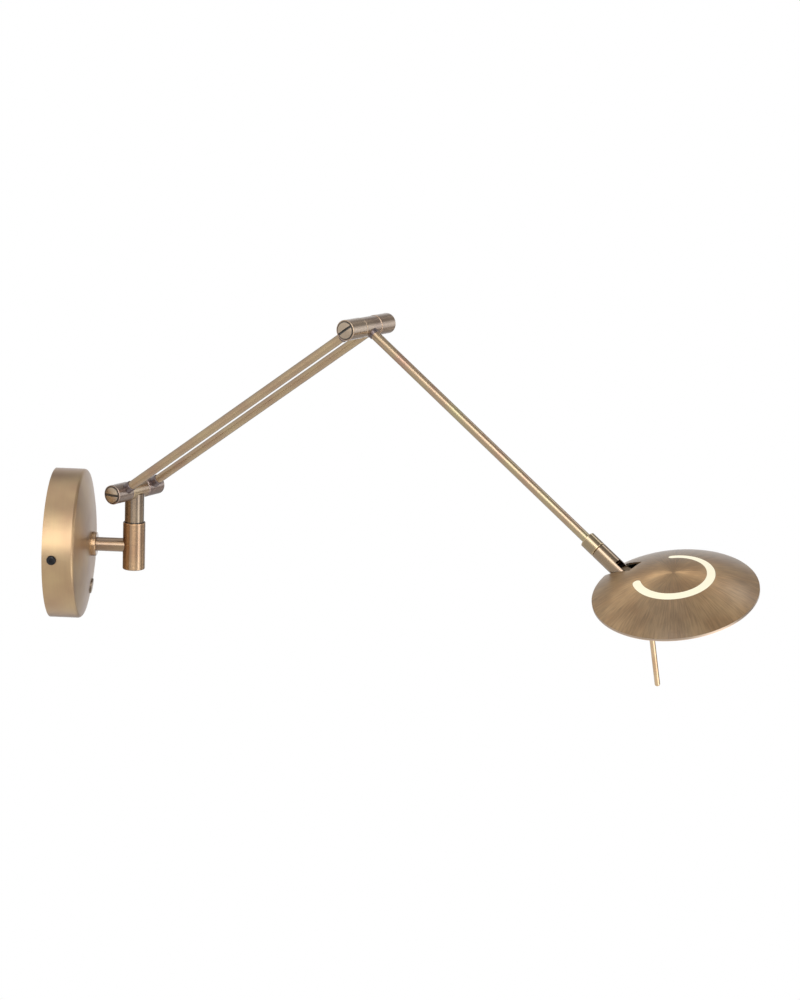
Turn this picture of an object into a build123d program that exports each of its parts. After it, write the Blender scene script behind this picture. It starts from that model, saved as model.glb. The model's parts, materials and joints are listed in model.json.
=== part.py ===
"""Swing-arm wall reading lamp with a twin-rod lower arm and a saucer head.

Millimetres. The wall is the plane X = 0, +X points out of the wall, +Z is up, and the origin is
the centre of the canopy on the wall. The solids stand in the pose of the photograph.
"""
import os
from math import asin, cos, degrees, sin, sqrt

from build123d import *

os.makedirs("parts", exist_ok=True)

# Canopy: a spun cup with a flat land in the middle of its domed front
canopy_diameter = 120.0
canopy_depth = 24.2
canopy_crown = 6.6
canopy_sheet = 1.2
canopy_edge_radius = 3.0
land_diameter = 21.0

# Wall bracket: a steel strap with two forward ears and a tongue for the driver
strap_thickness = 2.0
strap_height = 26.0
ear_width = 18.0
ear_length = 14.0
ear_gap = 1.4
bend_radius = 1.5
slot_spacing = 84.0
wall_slot_length = 12.0
wall_slot_width = 4.8
cable_hole = 13.0
tongue_width = 40.0
tongue_height = 44.0

# Side screws of the canopy and the earth screw
side_screw_height = 7.8
side_screw_drop = 1.0
side_screw_diameter = 3.9
side_screw_length = 8.0
side_screw_head = 7.6
side_screw_head_height = 2.3
side_screw_edge = 1.6
side_screw_socket = 2.5
side_screw_socket_depth = 1.3
thread_gap = 0.05
side_hole_gap = 0.25
earth_screw_offset = 22.0
earth_screw_diameter = 3.9
earth_screw_head = 7.2
earth_screw_head_height = 2.6
earth_screw_edge = 0.8
screwdriver_slot = 1.3
screwdriver_slot_depth = 1.3

# Electrical pieces on the bracket
driver_length = 46.0
driver_width = 29.0
driver_height = 17.0
driver_corner = 3.0
driver_edge = 1.0
driver_notch = 5.0
terminal_width = 16.0
terminal_height = 13.0
terminal_offset = 21.0
terminal_poles = 3
terminal_pitch = 8.0
terminal_screw_hole = 4.2
terminal_edge = 0.6

# Dimmer button on the canopy's front
button_diameter = 12.2
button_proud = 1.2
button_skirt = 4.4
button_travel = 1.0
button_gap = 0.3
button_radius = 38.2
button_turn = 14.0
button_edge = 0.5
button_stem = 6.0
button_stem_length = 7.5
running_gap = 0.05
switch_collar = 17.0
switch_side = 15.0
switch_corner = 1.5
switch_wall = 2.5
seat_gap = 0.2

# Stem, its flange and its fixing
stem_diameter = 11.2
stem_bore = 5.0
stem_spigot = 8.0
flange_diameter = 19.6
flange_thickness = 3.9
flange_edge = 1.0
tail_diameter = 10.0
tail_spare = 1.6
washer_thickness = 1.0
washer_diameter = 20.0
nut_flats = 14.0
nut_thickness = 4.0

# Swivel housing and post
post_reach = 64.5
housing_diameter = 18.0
housing_height = 38.6
housing_floor = 7.0
housing_edge = 1.0
housing_mouth = 0.3
post_diameter = 15.5
post_gap = 0.07
post_top_drop = 3.0
wire_bore = 6.0
wire_groove = 6.0
wire_groove_diameter = 10.0
swivel_washer_thickness = 0.9
face_gap = 0.05
post_screw_diameter = 5.0
post_screw_grip = 8.0
post_screw_head = 9.4
post_screw_head_height = 2.8
counterbore_diameter = 10.4
counterbore_depth = 4.0
free_gap = 0.3
spring_washer_thickness = 0.75

# Cross barrels at the shoulder and the elbow
shoulder_height = 45.8
barrel_diameter = 15.5
barrel_length = 59.0
barrel_edge = 0.4
knuckle_diameter = 14.9
knuckle_width = 19.4
knuckle_edge = 0.3
friction_washer = 0.4
friction_washer_diameter = 14.2
bolt_diameter = 8.0
bolt_thread = 6.0
bolt_thread_length = 12.0
bolt_head = 13.0
bolt_head_gap = 0.35
bolt_head_thickness = 2.6
bolt_head_proud = 0.3
bolt_head_crown = 0.9
bolt_slot = 1.7
bolt_slot_depth = 1.8
shoulder_slot_turn = 35.0
elbow_slot_turn = 0.0
post_spigot = 9.0

# Arms
rod_diameter = 7.0
rod_bore = 5.0
rod_spacing = 35.0
forearm_diameter = 7.3
forearm_bore = 5.0
socket_floor = 4.75
lower_arm_length = 262.2
forearm_length = 266.5

# Head swivel: collar, fork and hinge pin
collar_diameter = 12.4
collar_length = 11.5
collar_edge = 0.4
collar_socket = 6.0
seam_to_hinge = 20.9
seam_gap = 0.15
fork_nose = 7.2
fork_nose_edge = 1.2
fork_spigot = 8.0
fork_spigot_length = 4.8
fork_groove = 2.2
fork_groove_diameter = 6.4
fork_slot = 5.2
fork_slot_reach = 4.2
fork_wire_bore = 4.2
stop_screw_diameter = 1.6
hinge_pin_diameter = 4.0
hinge_pin_recess = 0.4
pin_blind_end = 0.9

# Saucer head
head_diameter = 117.6
head_crown = 17.0
head_sheet = 1.2
hinge_radius = 50.7
hinge_height = 3.2
slit_radius = 26.1
slit_width = 5.4
slit_gap_angle = 100.0
notch_width = 14.0
notch_start = 34.5
rim_height = 1.8
rim_width = 4.3
rim_lip = 3.0
rim_lip_thickness = 0.8
rim_edge = 0.6
diffuser_thickness = 1.8
diffuser_gap = 0.2

# Inside of the head
spreader_diameter = 88.0
spreader_thickness = 2.0
spreader_level = 4.3
spreader_light_slot = 3.6
board_outer = 84.0
board_inner = 62.0
board_thickness = 1.2
board_notch_gap = 4.0
led_side = 3.0
led_height = 0.8
led_count = 20
led_end_gap = 1.5
strip_gap = 0.15
strip_recess = 0.35
strip_foot = 1.5
strip_foot_height = 4.4
stud_diameter = 6.0
stud_radius = 18.0
stud_count = 3
stud_turn = 60.0
small_screw = 2.5
small_screw_head = 4.4
small_screw_head_height = 1.5
small_screw_grip = 3.0

# Hinge bracket and handle pin
bracket_flange_length = 13.7
bracket_flange_thickness = 3.1
bracket_web = 4.7
bracket_gap = 0.3
liner_gap = 0.2
liner_thickness = 0.8
liner_reach = 50.9
tongue_thickness = 4.7
tongue_half_height = 3.0
tongue_eye = 3.7
bracket_screw_offset = 4.4
bracket_screw_inset = 2.6
handle_radius = 26.8
handle_diameter = 4.0
handle_length = 88.0
handle_thread = 3.0
handle_tip = 1.8

# Joint angles of the photographed pose, degrees
swivel_turn = 29.8
arm_rise = 35.5
forearm_fall = 34.9
head_turn = 24.4
head_tilt = 32.3

# Centres and directions of the photographed pose
origin = Vector(0, 0, 0)
outward = Vector(1, 0, 0).rotate(Axis.Z, -swivel_turn)
barrel_dir = Vector(0, 1, 0).rotate(Axis.Z, -swivel_turn)
arm_dir = outward.rotate(Axis(origin, barrel_dir), -arm_rise)
fore_dir = outward.rotate(Axis(origin, barrel_dir), forearm_fall)
pin_dir = barrel_dir.rotate(Axis(origin, fore_dir), head_turn)
head_out = (fore_dir * -1).rotate(Axis(origin, pin_dir), -head_tilt)
head_up = pin_dir.cross(head_out)
shoulder = Vector(post_reach, 0, shoulder_height)
elbow = shoulder + arm_dir * lower_arm_length
hinge = elbow + fore_dir * forearm_length
head_centre = hinge - head_out * hinge_radius - head_up * hinge_height

shoulder_plane = Plane(origin=shoulder, x_dir=arm_dir, z_dir=barrel_dir)
elbow_plane = Plane(origin=elbow, x_dir=arm_dir, z_dir=barrel_dir)
fork_plane = Plane(origin=hinge, x_dir=fore_dir, z_dir=pin_dir)
fork_side_plane = Plane(origin=hinge, x_dir=fore_dir, z_dir=fork_plane.y_dir)
head_plane = Plane(origin=head_centre, x_dir=head_out, z_dir=head_up)
head_side_plane = Plane(origin=head_centre, x_dir=head_out, z_dir=pin_dir)
head_axis = Axis(head_centre, head_up)

# Radii and levels that follow from the sizes above
canopy_radius = canopy_diameter / 2
canopy_inside = canopy_radius - canopy_sheet
land_radius = land_diameter / 2
face_level = canopy_depth + canopy_crown
inner_face = face_level - canopy_sheet
face_span = canopy_radius - land_radius
face_arc_radius = (canopy_crown**2 + face_span**2) / (2 * canopy_crown)
ear_face = canopy_inside - ear_gap
barrel_half = barrel_length / 2
seam_level = knuckle_width / 2 + friction_washer + 2 * face_gap
barrel_segment = barrel_half - seam_level
bolt_bore = bolt_diameter + 2 * running_gap
head_radius = head_diameter / 2
dome_radius = (head_radius**2 + head_crown**2) / (2 * head_crown)
dome_centre = head_crown - dome_radius
dome_inside = dome_radius - head_sheet
spreader_top = spreader_level + spreader_thickness
liner_face = notch_width / 2 + liner_gap
liner_half = liner_face + liner_thickness
slit_span = 360 - slit_gap_angle


def along(start, direction, distance):
    """Plane square to a direction, a distance along it from a point."""
    return Plane(origin=start + direction * distance, z_dir=direction)


def save(solid, name):
    """Label a finished piece and write its file."""
    solid.label = name
    export_step(solid, f"parts/{name}.step")


# Canopy: revolved, rounded at the shoulder, hollowed from the wall side, then drilled
with BuildPart() as canopy:
    with BuildSketch(Plane.XZ):
        with BuildLine():
            Polyline((canopy_depth, canopy_radius), (0, canopy_radius), (0, 0), (face_level, 0))
            Line((face_level, 0), (face_level, land_radius))
            TangentArc((face_level, land_radius), (canopy_depth, canopy_radius), tangent=(0, 1))
        make_face()
    revolve(axis=Axis.X)
    side_wall = canopy.faces().filter_by(GeomType.CYLINDER)[0]
    fillet(side_wall.edges().filter_by(GeomType.CIRCLE).sort_by(Axis.X)[-1], canopy_edge_radius)
    offset(amount=-canopy_sheet, openings=canopy.faces().sort_by(Axis.X)[0])
    with BuildSketch(Plane.YZ.offset(face_level)):
        Circle(tail_diameter / 2 + side_hole_gap)
    extrude(amount=-2 * canopy_sheet, mode=Mode.SUBTRACT)
    with BuildSketch(Plane.XZ):
        with Locations((side_screw_height, -side_screw_drop)):
            Circle(side_screw_diameter / 2 + side_hole_gap)
    extrude(amount=canopy_radius, both=True, mode=Mode.SUBTRACT)

# The button stands square to the domed face at its own place
button_span = button_radius - land_radius
button_slope = asin(button_span / face_arc_radius)
button_level = face_level - face_arc_radius * (1 - cos(button_slope))
button_way = Vector(0, 0, -1).rotate(Axis.X, button_turn)
button_normal = Vector(cos(button_slope), 0, 0) + button_way * sin(button_slope)
button_place = Vector(button_level, 0, 0) + button_way * button_radius
button_plane = Plane(origin=button_place, z_dir=button_normal)
with canopy:
    with BuildSketch(button_plane):
        Circle(button_diameter / 2 + button_gap)
    extrude(amount=3 * canopy_sheet, both=True, mode=Mode.SUBTRACT)
save(canopy.part, "canopy")

# Wall bracket: strap and tongue in one sheet, with the ears folded forward
with BuildPart() as wall_bracket:
    with BuildSketch(Plane.YZ):
        Rectangle(2 * ear_face, strap_height)
        with Locations((0, tongue_height / 2)):
            Rectangle(tongue_width, tongue_height)
    extrude(amount=strap_thickness)
    fillet(wall_bracket.edges().filter_by(Axis.X), strap_thickness)
    with BuildSketch(Plane.YZ):
        with Locations((ear_face - strap_thickness / 2, 0), (strap_thickness / 2 - ear_face, 0)):
            Rectangle(strap_thickness, ear_width)
    extrude(amount=ear_length)
    inner_folds = wall_bracket.edges().filter_by(Axis.Z).filter_by_position(
        Axis.X, strap_thickness - face_gap, strap_thickness + face_gap
    )
    fillet(inner_folds.sort_by(Axis.Y)[0], bend_radius)
    inner_folds = wall_bracket.edges().filter_by(Axis.Z).filter_by_position(
        Axis.X, strap_thickness - face_gap, strap_thickness + face_gap
    )
    fillet(inner_folds.sort_by(Axis.Y)[-1], bend_radius)
    with BuildSketch(Plane.YZ):
        Circle(cable_hole / 2)
        with GridLocations(slot_spacing, 0, 2, 1):
            SlotOverall(wall_slot_length, wall_slot_width)
        with Locations((earth_screw_offset, 0)):
            Circle(earth_screw_diameter / 2 + thread_gap)
    extrude(amount=strap_thickness, mode=Mode.SUBTRACT)
    with BuildSketch(Plane.XZ):
        with Locations((side_screw_height, -side_screw_drop)):
            Circle(side_screw_diameter / 2 + thread_gap)
    extrude(amount=canopy_radius, both=True, mode=Mode.SUBTRACT)
save(wall_bracket.part, "wall_bracket")

# Canopy screws: button heads with a hexagon socket, one on each side
with BuildPart() as canopy_screws:
    with BuildSketch(Plane.XZ.offset(canopy_radius + face_gap)):
        with Locations((side_screw_height, -side_screw_drop)):
            Circle(side_screw_head / 2)
    extrude(amount=side_screw_head_height)
    fillet(canopy_screws.faces().sort_by(Axis.Y)[0].edges(), side_screw_edge)
    with BuildSketch(canopy_screws.faces().sort_by(Axis.Y)[0]):
        RegularPolygon(side_screw_socket / 2, 6, major_radius=False)
    extrude(amount=-side_screw_socket_depth, mode=Mode.SUBTRACT)
    with BuildSketch(Plane.XZ.offset(canopy_radius + face_gap)):
        with Locations((side_screw_height, -side_screw_drop)):
            Circle(side_screw_diameter / 2)
    extrude(amount=-side_screw_length)
    mirror(about=Plane.XZ)
save(canopy_screws.part, "canopy_screws")

# Earth screw: slotted pan head on the strap
with BuildPart() as earth_screw:
    with BuildSketch(Plane.YZ.offset(strap_thickness)):
        with Locations((earth_screw_offset, 0)):
            Circle(earth_screw_head / 2)
    extrude(amount=earth_screw_head_height)
    fillet(earth_screw.faces().sort_by(Axis.X)[-1].edges(), earth_screw_edge)
    with BuildSketch(earth_screw.faces().sort_by(Axis.X)[-1]):
        Rectangle(earth_screw_head, screwdriver_slot)
    extrude(amount=-screwdriver_slot_depth, mode=Mode.SUBTRACT)
    with BuildSketch(Plane.YZ.offset(strap_thickness)):
        with Locations((earth_screw_offset, 0)):
            Circle(earth_screw_diameter / 2)
    extrude(amount=seat_gap - strap_thickness)
save(earth_screw.part, "earth_screw")

# LED driver: potted box on the bracket's tongue, with a cable notch in each end
driver_level = tongue_height - driver_width / 2
with BuildPart() as led_driver:
    with BuildSketch(Plane.YZ.offset(strap_thickness)):
        with Locations((0, driver_level)):
            RectangleRounded(driver_length, driver_width, driver_corner)
    extrude(amount=driver_height)
    fillet(led_driver.faces().sort_by(Axis.X)[-1].edges(), driver_edge)
    with BuildSketch(Plane.YZ.offset(strap_thickness)):
        with Locations((driver_length / 2, driver_level), (-driver_length / 2, driver_level)):
            Rectangle(2 * driver_notch, driver_notch)
    extrude(amount=driver_height / 2, mode=Mode.SUBTRACT)
save(led_driver.part, "led_driver")

# Terminal block: one row of poles with screw wells and wire entries
with BuildPart() as terminal_block:
    with BuildSketch(Plane.YZ.offset(strap_thickness)):
        with Locations((-terminal_offset, 0)):
            Rectangle(terminal_poles * terminal_pitch, terminal_width)
    extrude(amount=terminal_height)
    fillet(terminal_block.faces().sort_by(Axis.X)[-1].edges(), terminal_edge)
    with BuildSketch(Plane.YZ.offset(strap_thickness + terminal_height)):
        with Locations((-terminal_offset, 0)):
            with GridLocations(terminal_pitch, terminal_width / 2, terminal_poles, 2):
                Circle(terminal_screw_hole / 2)
    extrude(amount=-terminal_height / 2, mode=Mode.SUBTRACT)
    with BuildSketch(Plane.XY.offset(-terminal_width / 2)):
        with Locations((strap_thickness + terminal_height / 3, -terminal_offset)):
            with GridLocations(0, terminal_pitch, 1, terminal_poles):
                Circle(terminal_screw_hole / 2)
    extrude(amount=terminal_width, mode=Mode.SUBTRACT)
save(terminal_block.part, "terminal_block")

# Dimmer button: domed cap with a stem that plunges into the switch
with BuildPart() as dimmer_button:
    with BuildSketch(button_plane.offset(-button_skirt)):
        Circle(button_diameter / 2)
    extrude(amount=button_skirt + button_proud)
    fillet(dimmer_button.faces().sort_by(Axis(button_place, button_normal))[-1].edges(), button_edge)
    with BuildSketch(button_plane.offset(-button_skirt)):
        Circle(button_stem / 2)
    extrude(amount=-button_stem_length)
save(dimmer_button.part, "dimmer_button")

# Switch body: collar under the canopy's face, square case behind it and a bore for the stem
collar_top = canopy_sheet + 2 * free_gap
collar_floor = button_skirt + button_travel + free_gap
stem_room = button_skirt + button_stem_length + button_travel + free_gap
with BuildPart() as switch_body:
    with BuildSketch(button_plane.offset(-collar_top)):
        Circle(switch_collar / 2)
    extrude(amount=collar_top - collar_floor - switch_wall)
    with BuildSketch(button_plane.offset(-collar_floor)):
        RectangleRounded(switch_side, switch_side, switch_corner)
    extrude(amount=collar_floor - stem_room - switch_wall)
    with BuildSketch(button_plane.offset(-collar_floor)):
        Circle(button_diameter / 2 + button_gap)
    extrude(amount=collar_floor, mode=Mode.SUBTRACT)
    with BuildSketch(button_plane.offset(-stem_room)):
        Circle(button_stem / 2 + running_gap)
    extrude(amount=stem_room, mode=Mode.SUBTRACT)
save(switch_body.part, "switch_body")

# Stem: threaded tail, flange on the land and a tube coped to the swivel housing
tail_end = inner_face - washer_thickness - nut_thickness - tail_spare
post_bore = post_diameter / 2 + post_gap
spigot_end = post_reach - post_bore - seat_gap
with BuildPart() as stem:
    with BuildSketch(Plane.YZ.offset(face_level)):
        Circle(flange_diameter / 2)
    extrude(amount=flange_thickness)
    fillet(stem.faces().sort_by(Axis.X)[-1].edges(), flange_edge)
    with BuildSketch(Plane.YZ.offset(tail_end)):
        Circle(tail_diameter / 2)
    extrude(amount=face_level - tail_end)
    with BuildSketch(Plane.YZ.offset(face_level)):
        Circle(stem_diameter / 2)
    extrude(amount=post_reach - face_level)
    with BuildSketch(Plane.XY):
        with Locations((post_reach, 0)):
            Circle(housing_diameter / 2 + face_gap)
    extrude(amount=housing_height, both=True, mode=Mode.SUBTRACT)
    with BuildSketch(Plane.YZ.offset(face_level)):
        Circle(stem_spigot / 2)
    extrude(amount=spigot_end - face_level)
    with BuildSketch(Plane.YZ.offset(tail_end)):
        Circle(stem_bore / 2)
    extrude(amount=post_reach - tail_end, mode=Mode.SUBTRACT)
save(stem.part, "stem")

with BuildPart() as stem_washer:
    with BuildSketch(Plane.YZ.offset(inner_face - washer_thickness)):
        Circle(washer_diameter / 2)
        Circle(tail_diameter / 2 + side_hole_gap, mode=Mode.SUBTRACT)
    extrude(amount=washer_thickness)
save(stem_washer.part, "stem_washer")

with BuildPart() as stem_nut:
    with BuildSketch(Plane.YZ.offset(inner_face - washer_thickness - nut_thickness)):
        RegularPolygon(nut_flats / 2, 6, major_radius=False)
        Circle(tail_diameter / 2 + thread_gap, mode=Mode.SUBTRACT)
    extrude(amount=nut_thickness)
save(stem_nut.part, "stem_nut")

# Swivel housing: upright tube with a floor, counterbored below for the post's screw
housing_bottom = -housing_height / 2
washer_level = housing_bottom + housing_floor
post_bottom = washer_level + swivel_washer_thickness + face_gap
with BuildPart() as swivel_housing:
    with BuildSketch(Plane.XY.offset(housing_bottom)):
        with Locations((post_reach, 0)):
            Circle(housing_diameter / 2)
    extrude(amount=housing_height)
    fillet(swivel_housing.faces().sort_by(Axis.Z)[0].edges(), housing_edge)
    with BuildSketch(Plane.XY.offset(washer_level)):
        with Locations((post_reach, 0)):
            Circle(post_bore)
    extrude(amount=housing_height, mode=Mode.SUBTRACT)
    chamfer(swivel_housing.faces().sort_by(Axis.Z)[-1].edges(), housing_mouth)
    with Locations(Plane(origin=(post_reach, 0, housing_bottom), z_dir=(0, 0, -1))):
        CounterBoreHole(post_screw_diameter / 2 + free_gap, counterbore_diameter / 2, counterbore_depth)
    with BuildSketch(Plane.YZ.offset(post_reach)):
        Circle(stem_spigot / 2 + running_gap)
    extrude(amount=-housing_diameter, mode=Mode.SUBTRACT)
save(swivel_housing.part, "swivel_housing")

with BuildPart() as swivel_washer:
    with BuildSketch(Plane.XY.offset(washer_level)):
        with Locations((post_reach, 0)):
            Circle(post_bore - free_gap)
            Circle(post_screw_diameter / 2 + free_gap, mode=Mode.SUBTRACT)
    extrude(amount=swivel_washer_thickness)
save(swivel_washer.part, "swivel_washer")

# Swivel post: turns in the housing, saddled at the top for the knuckle and bored for the wires
post_top = shoulder_height - post_top_drop
post_spigot_end = shoulder_height - socket_floor - face_gap
with BuildPart() as swivel_post:
    with BuildSketch(Plane.XY.offset(post_bottom)):
        with Locations((post_reach, 0)):
            Circle(post_diameter / 2)
    extrude(amount=post_top - post_bottom)
    with BuildSketch(shoulder_plane):
        Circle(knuckle_diameter / 2 + face_gap)
    extrude(amount=post_diameter, both=True, mode=Mode.SUBTRACT)
    with BuildSketch(Plane.XY.offset(post_spigot_end)):
        with Locations((post_reach, 0)):
            Circle(post_spigot / 2)
    extrude(amount=-knuckle_diameter / 2)
    with BuildSketch(Plane.XY.offset(-wire_groove / 2)):
        with Locations((post_reach, 0)):
            Circle(post_diameter / 2)
            Circle(wire_groove_diameter / 2, mode=Mode.SUBTRACT)
    extrude(amount=wire_groove, mode=Mode.SUBTRACT)
    with BuildSketch(Plane.YZ.offset(post_reach)):
        Circle(stem_bore / 2)
    extrude(amount=-post_diameter, mode=Mode.SUBTRACT)
    with BuildSketch(Plane.XY):
        with Locations((post_reach, 0)):
            Circle(wire_bore / 2)
    extrude(amount=shoulder_height, mode=Mode.SUBTRACT)
    with BuildSketch(Plane.XY.offset(post_bottom)):
        with Locations((post_reach, 0)):
            Circle(post_screw_diameter / 2 + thread_gap)
    extrude(amount=post_screw_grip, mode=Mode.SUBTRACT)
save(swivel_post.part, "swivel_post")

# Post screw and its spring washer: they hold the post down and set its drag
spring_level = housing_bottom + counterbore_depth - face_gap - spring_washer_thickness
with BuildPart() as post_spring_washer:
    with BuildSketch(Plane.XY.offset(spring_level)):
        with Locations((post_reach, 0)):
            Circle(post_screw_head / 2)
            Circle(post_screw_diameter / 2 + free_gap, mode=Mode.SUBTRACT)
    extrude(amount=spring_washer_thickness)
save(post_spring_washer.part, "post_spring_washer")

with BuildPart() as post_screw:
    with BuildSketch(Plane.XY.offset(spring_level - post_screw_head_height)):
        with Locations((post_reach, 0)):
            Circle(post_screw_head / 2)
    extrude(amount=post_screw_head_height)
    with BuildSketch(Plane.XY.offset(spring_level - post_screw_head_height)):
        with Locations((post_reach, 0)):
            Rectangle(post_screw_head, screwdriver_slot)
    extrude(amount=screwdriver_slot_depth, mode=Mode.SUBTRACT)
    with BuildSketch(Plane.XY.offset(spring_level)):
        with Locations((post_reach, 0)):
            Circle(post_screw_diameter / 2)
    extrude(amount=post_bottom + post_screw_grip - seat_gap - spring_level)
save(post_screw.part, "post_screw")


def knuckle(joint_plane, way, socket):
    """Middle segment of a cross barrel, with a socket for the tube that it carries."""
    with BuildPart() as middle:
        with BuildSketch(joint_plane.offset(-knuckle_width / 2)):
            Circle(knuckle_diameter / 2)
        extrude(amount=knuckle_width)
        chamfer(middle.edges().filter_by(GeomType.CIRCLE), knuckle_edge)
        with BuildSketch(joint_plane):
            Circle(bolt_bore / 2)
        extrude(amount=knuckle_width, both=True, mode=Mode.SUBTRACT)
        with BuildSketch(along(joint_plane.origin, way, socket_floor)):
            Circle(socket / 2 + running_gap)
        extrude(amount=knuckle_diameter, mode=Mode.SUBTRACT)
    return middle.part


def outer_barrel(joint_plane, side, way):
    """Outer segment with a rod socket; the near one seats the bolt's head, the far one its thread."""
    end_face = Plane(
        origin=joint_plane.origin + joint_plane.z_dir * (side * barrel_half),
        z_dir=joint_plane.z_dir * -side,
    )
    rod_foot = joint_plane.origin + joint_plane.z_dir * (side * rod_spacing / 2)
    with BuildPart() as segment:
        with BuildSketch(end_face):
            Circle(barrel_diameter / 2)
        extrude(amount=barrel_segment)
        chamfer(segment.edges().filter_by(GeomType.CIRCLE), barrel_edge)
        if side < 0:
            with BuildSketch(end_face):
                Circle(bolt_head / 2 + bolt_head_gap)
            extrude(amount=bolt_head_thickness - bolt_head_proud, mode=Mode.SUBTRACT)
            with BuildSketch(end_face):
                Circle(bolt_bore / 2)
            extrude(amount=barrel_segment, mode=Mode.SUBTRACT)
        else:
            with BuildSketch(end_face.offset(barrel_segment)):
                Circle(bolt_thread / 2 + thread_gap)
            extrude(amount=-bolt_thread_length - free_gap, mode=Mode.SUBTRACT)
        with BuildSketch(along(rod_foot, way, socket_floor)):
            Circle(rod_diameter / 2 + running_gap)
        extrude(amount=barrel_diameter, mode=Mode.SUBTRACT)
    return segment.part


def pivot_bolt(joint_plane, slot_turn):
    """Slotted shoulder bolt: its head sits in the near segment and its thread in the far one."""
    head_rim = joint_plane.offset(-barrel_half - bolt_head_proud)
    head_top = head_rim.offset(-bolt_head_crown)
    head_section = Plane(origin=head_rim.origin, x_dir=head_rim.x_dir, z_dir=head_rim.y_dir)
    crown_radius = ((bolt_head / 2) ** 2 + bolt_head_crown**2) / (2 * bolt_head_crown)
    with BuildPart() as bolt:
        with BuildSketch(head_section):
            with BuildLine():
                Polyline(
                    (0, bolt_head_crown),
                    (0, face_gap - bolt_head_thickness),
                    (bolt_head / 2, face_gap - bolt_head_thickness),
                    (bolt_head / 2, 0),
                )
                RadiusArc((0, bolt_head_crown), (bolt_head / 2, 0), crown_radius)
            make_face()
        revolve(axis=Axis(head_rim.origin, head_rim.z_dir))
        with BuildSketch(head_top):
            Rectangle(bolt_head, bolt_slot, rotation=slot_turn)
        extrude(amount=bolt_slot_depth, mode=Mode.SUBTRACT)
        with BuildSketch(joint_plane.offset(seam_level - face_gap)):
            Circle(bolt_diameter / 2)
        extrude(amount=bolt_head_thickness - bolt_head_proud - barrel_half - seam_level)
        with BuildSketch(joint_plane.offset(seam_level - face_gap)):
            Circle(bolt_thread / 2)
        extrude(amount=bolt_thread_length)
    return bolt.part


def seam_washers(joint_plane):
    """The two friction washers of a cross barrel, one in each seam."""
    with BuildPart() as pair:
        for level in (knuckle_width / 2 + face_gap, -knuckle_width / 2 - face_gap - friction_washer):
            with BuildSketch(joint_plane.offset(level)):
                Circle(friction_washer_diameter / 2)
                Circle(bolt_bore / 2, mode=Mode.SUBTRACT)
            extrude(amount=friction_washer)
    return pair.part


def tube(start, way, length, outside, bore):
    """Plain round tube from a point along a direction."""
    with BuildPart() as piece:
        with BuildSketch(along(start, way, 0)):
            Circle(outside / 2)
            Circle(bore / 2, mode=Mode.SUBTRACT)
        extrude(amount=length)
    return piece.part


# Shoulder and elbow barrels with the twin rods of the lower arm between them
rod_start = socket_floor + face_gap
save(knuckle(shoulder_plane, Vector(0, 0, -1), post_spigot), "lower_knuckle")
save(knuckle(elbow_plane, fore_dir, forearm_diameter), "elbow_knuckle")
for name, side in (("near", -1), ("far", 1)):
    save(outer_barrel(shoulder_plane, side, arm_dir), f"{name}_shoulder_barrel")
    save(outer_barrel(elbow_plane, side, arm_dir * -1), f"{name}_elbow_barrel")
    rod_foot = shoulder + barrel_dir * (side * rod_spacing / 2) + arm_dir * rod_start
    save(tube(rod_foot, arm_dir, lower_arm_length - 2 * rod_start, rod_diameter, rod_bore), f"{name}_rod")
save(pivot_bolt(shoulder_plane, shoulder_slot_turn), "shoulder_bolt")
save(pivot_bolt(elbow_plane, elbow_slot_turn), "elbow_bolt")
save(seam_washers(shoulder_plane), "shoulder_washers")
save(seam_washers(elbow_plane), "elbow_washers")

# Forearm rod, and the collar at its end that carries the fork's spigot
seam = forearm_length - seam_to_hinge
collar_start = seam - collar_length
rod_length = collar_start + collar_socket - face_gap - rod_start
rod_root = elbow + fore_dir * rod_start
save(tube(rod_root, fore_dir, rod_length, forearm_diameter, forearm_bore), "forearm_rod")
spigot_room = fork_spigot_length + free_gap
groove_centre = seam - fork_spigot_length / 2
groove_point = elbow + fore_dir * groove_centre
stop_way = barrel_dir
with BuildPart() as head_collar:
    with BuildSketch(along(elbow, fore_dir, collar_start)):
        Circle(collar_diameter / 2)
    extrude(amount=collar_length)
    chamfer(head_collar.edges().filter_by(GeomType.CIRCLE), collar_edge)
    with BuildSketch(along(elbow, fore_dir, collar_start)):
        Circle(forearm_diameter / 2 + running_gap)
    extrude(amount=collar_socket, mode=Mode.SUBTRACT)
    with BuildSketch(along(elbow, fore_dir, seam)):
        Circle(fork_spigot / 2 + running_gap)
    extrude(amount=-spigot_room, mode=Mode.SUBTRACT)
    with BuildSketch(along(elbow, fore_dir, collar_start)):
        Circle(fork_wire_bore / 2)
    extrude(amount=collar_length, mode=Mode.SUBTRACT)
    with BuildSketch(along(groove_point, stop_way, 0)):
        Circle(stop_screw_diameter / 2 + thread_gap)
    extrude(amount=collar_diameter, mode=Mode.SUBTRACT)
save(head_collar.part, "head_collar")

with BuildPart() as swivel_stop_screw:
    with BuildSketch(along(groove_point, stop_way, fork_groove_diameter / 2 + free_gap)):
        Circle(stop_screw_diameter / 2)
    extrude(amount=(collar_diameter - fork_groove_diameter) / 2 - 2 * free_gap)
save(swivel_stop_screw.part, "swivel_stop_screw")

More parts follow.
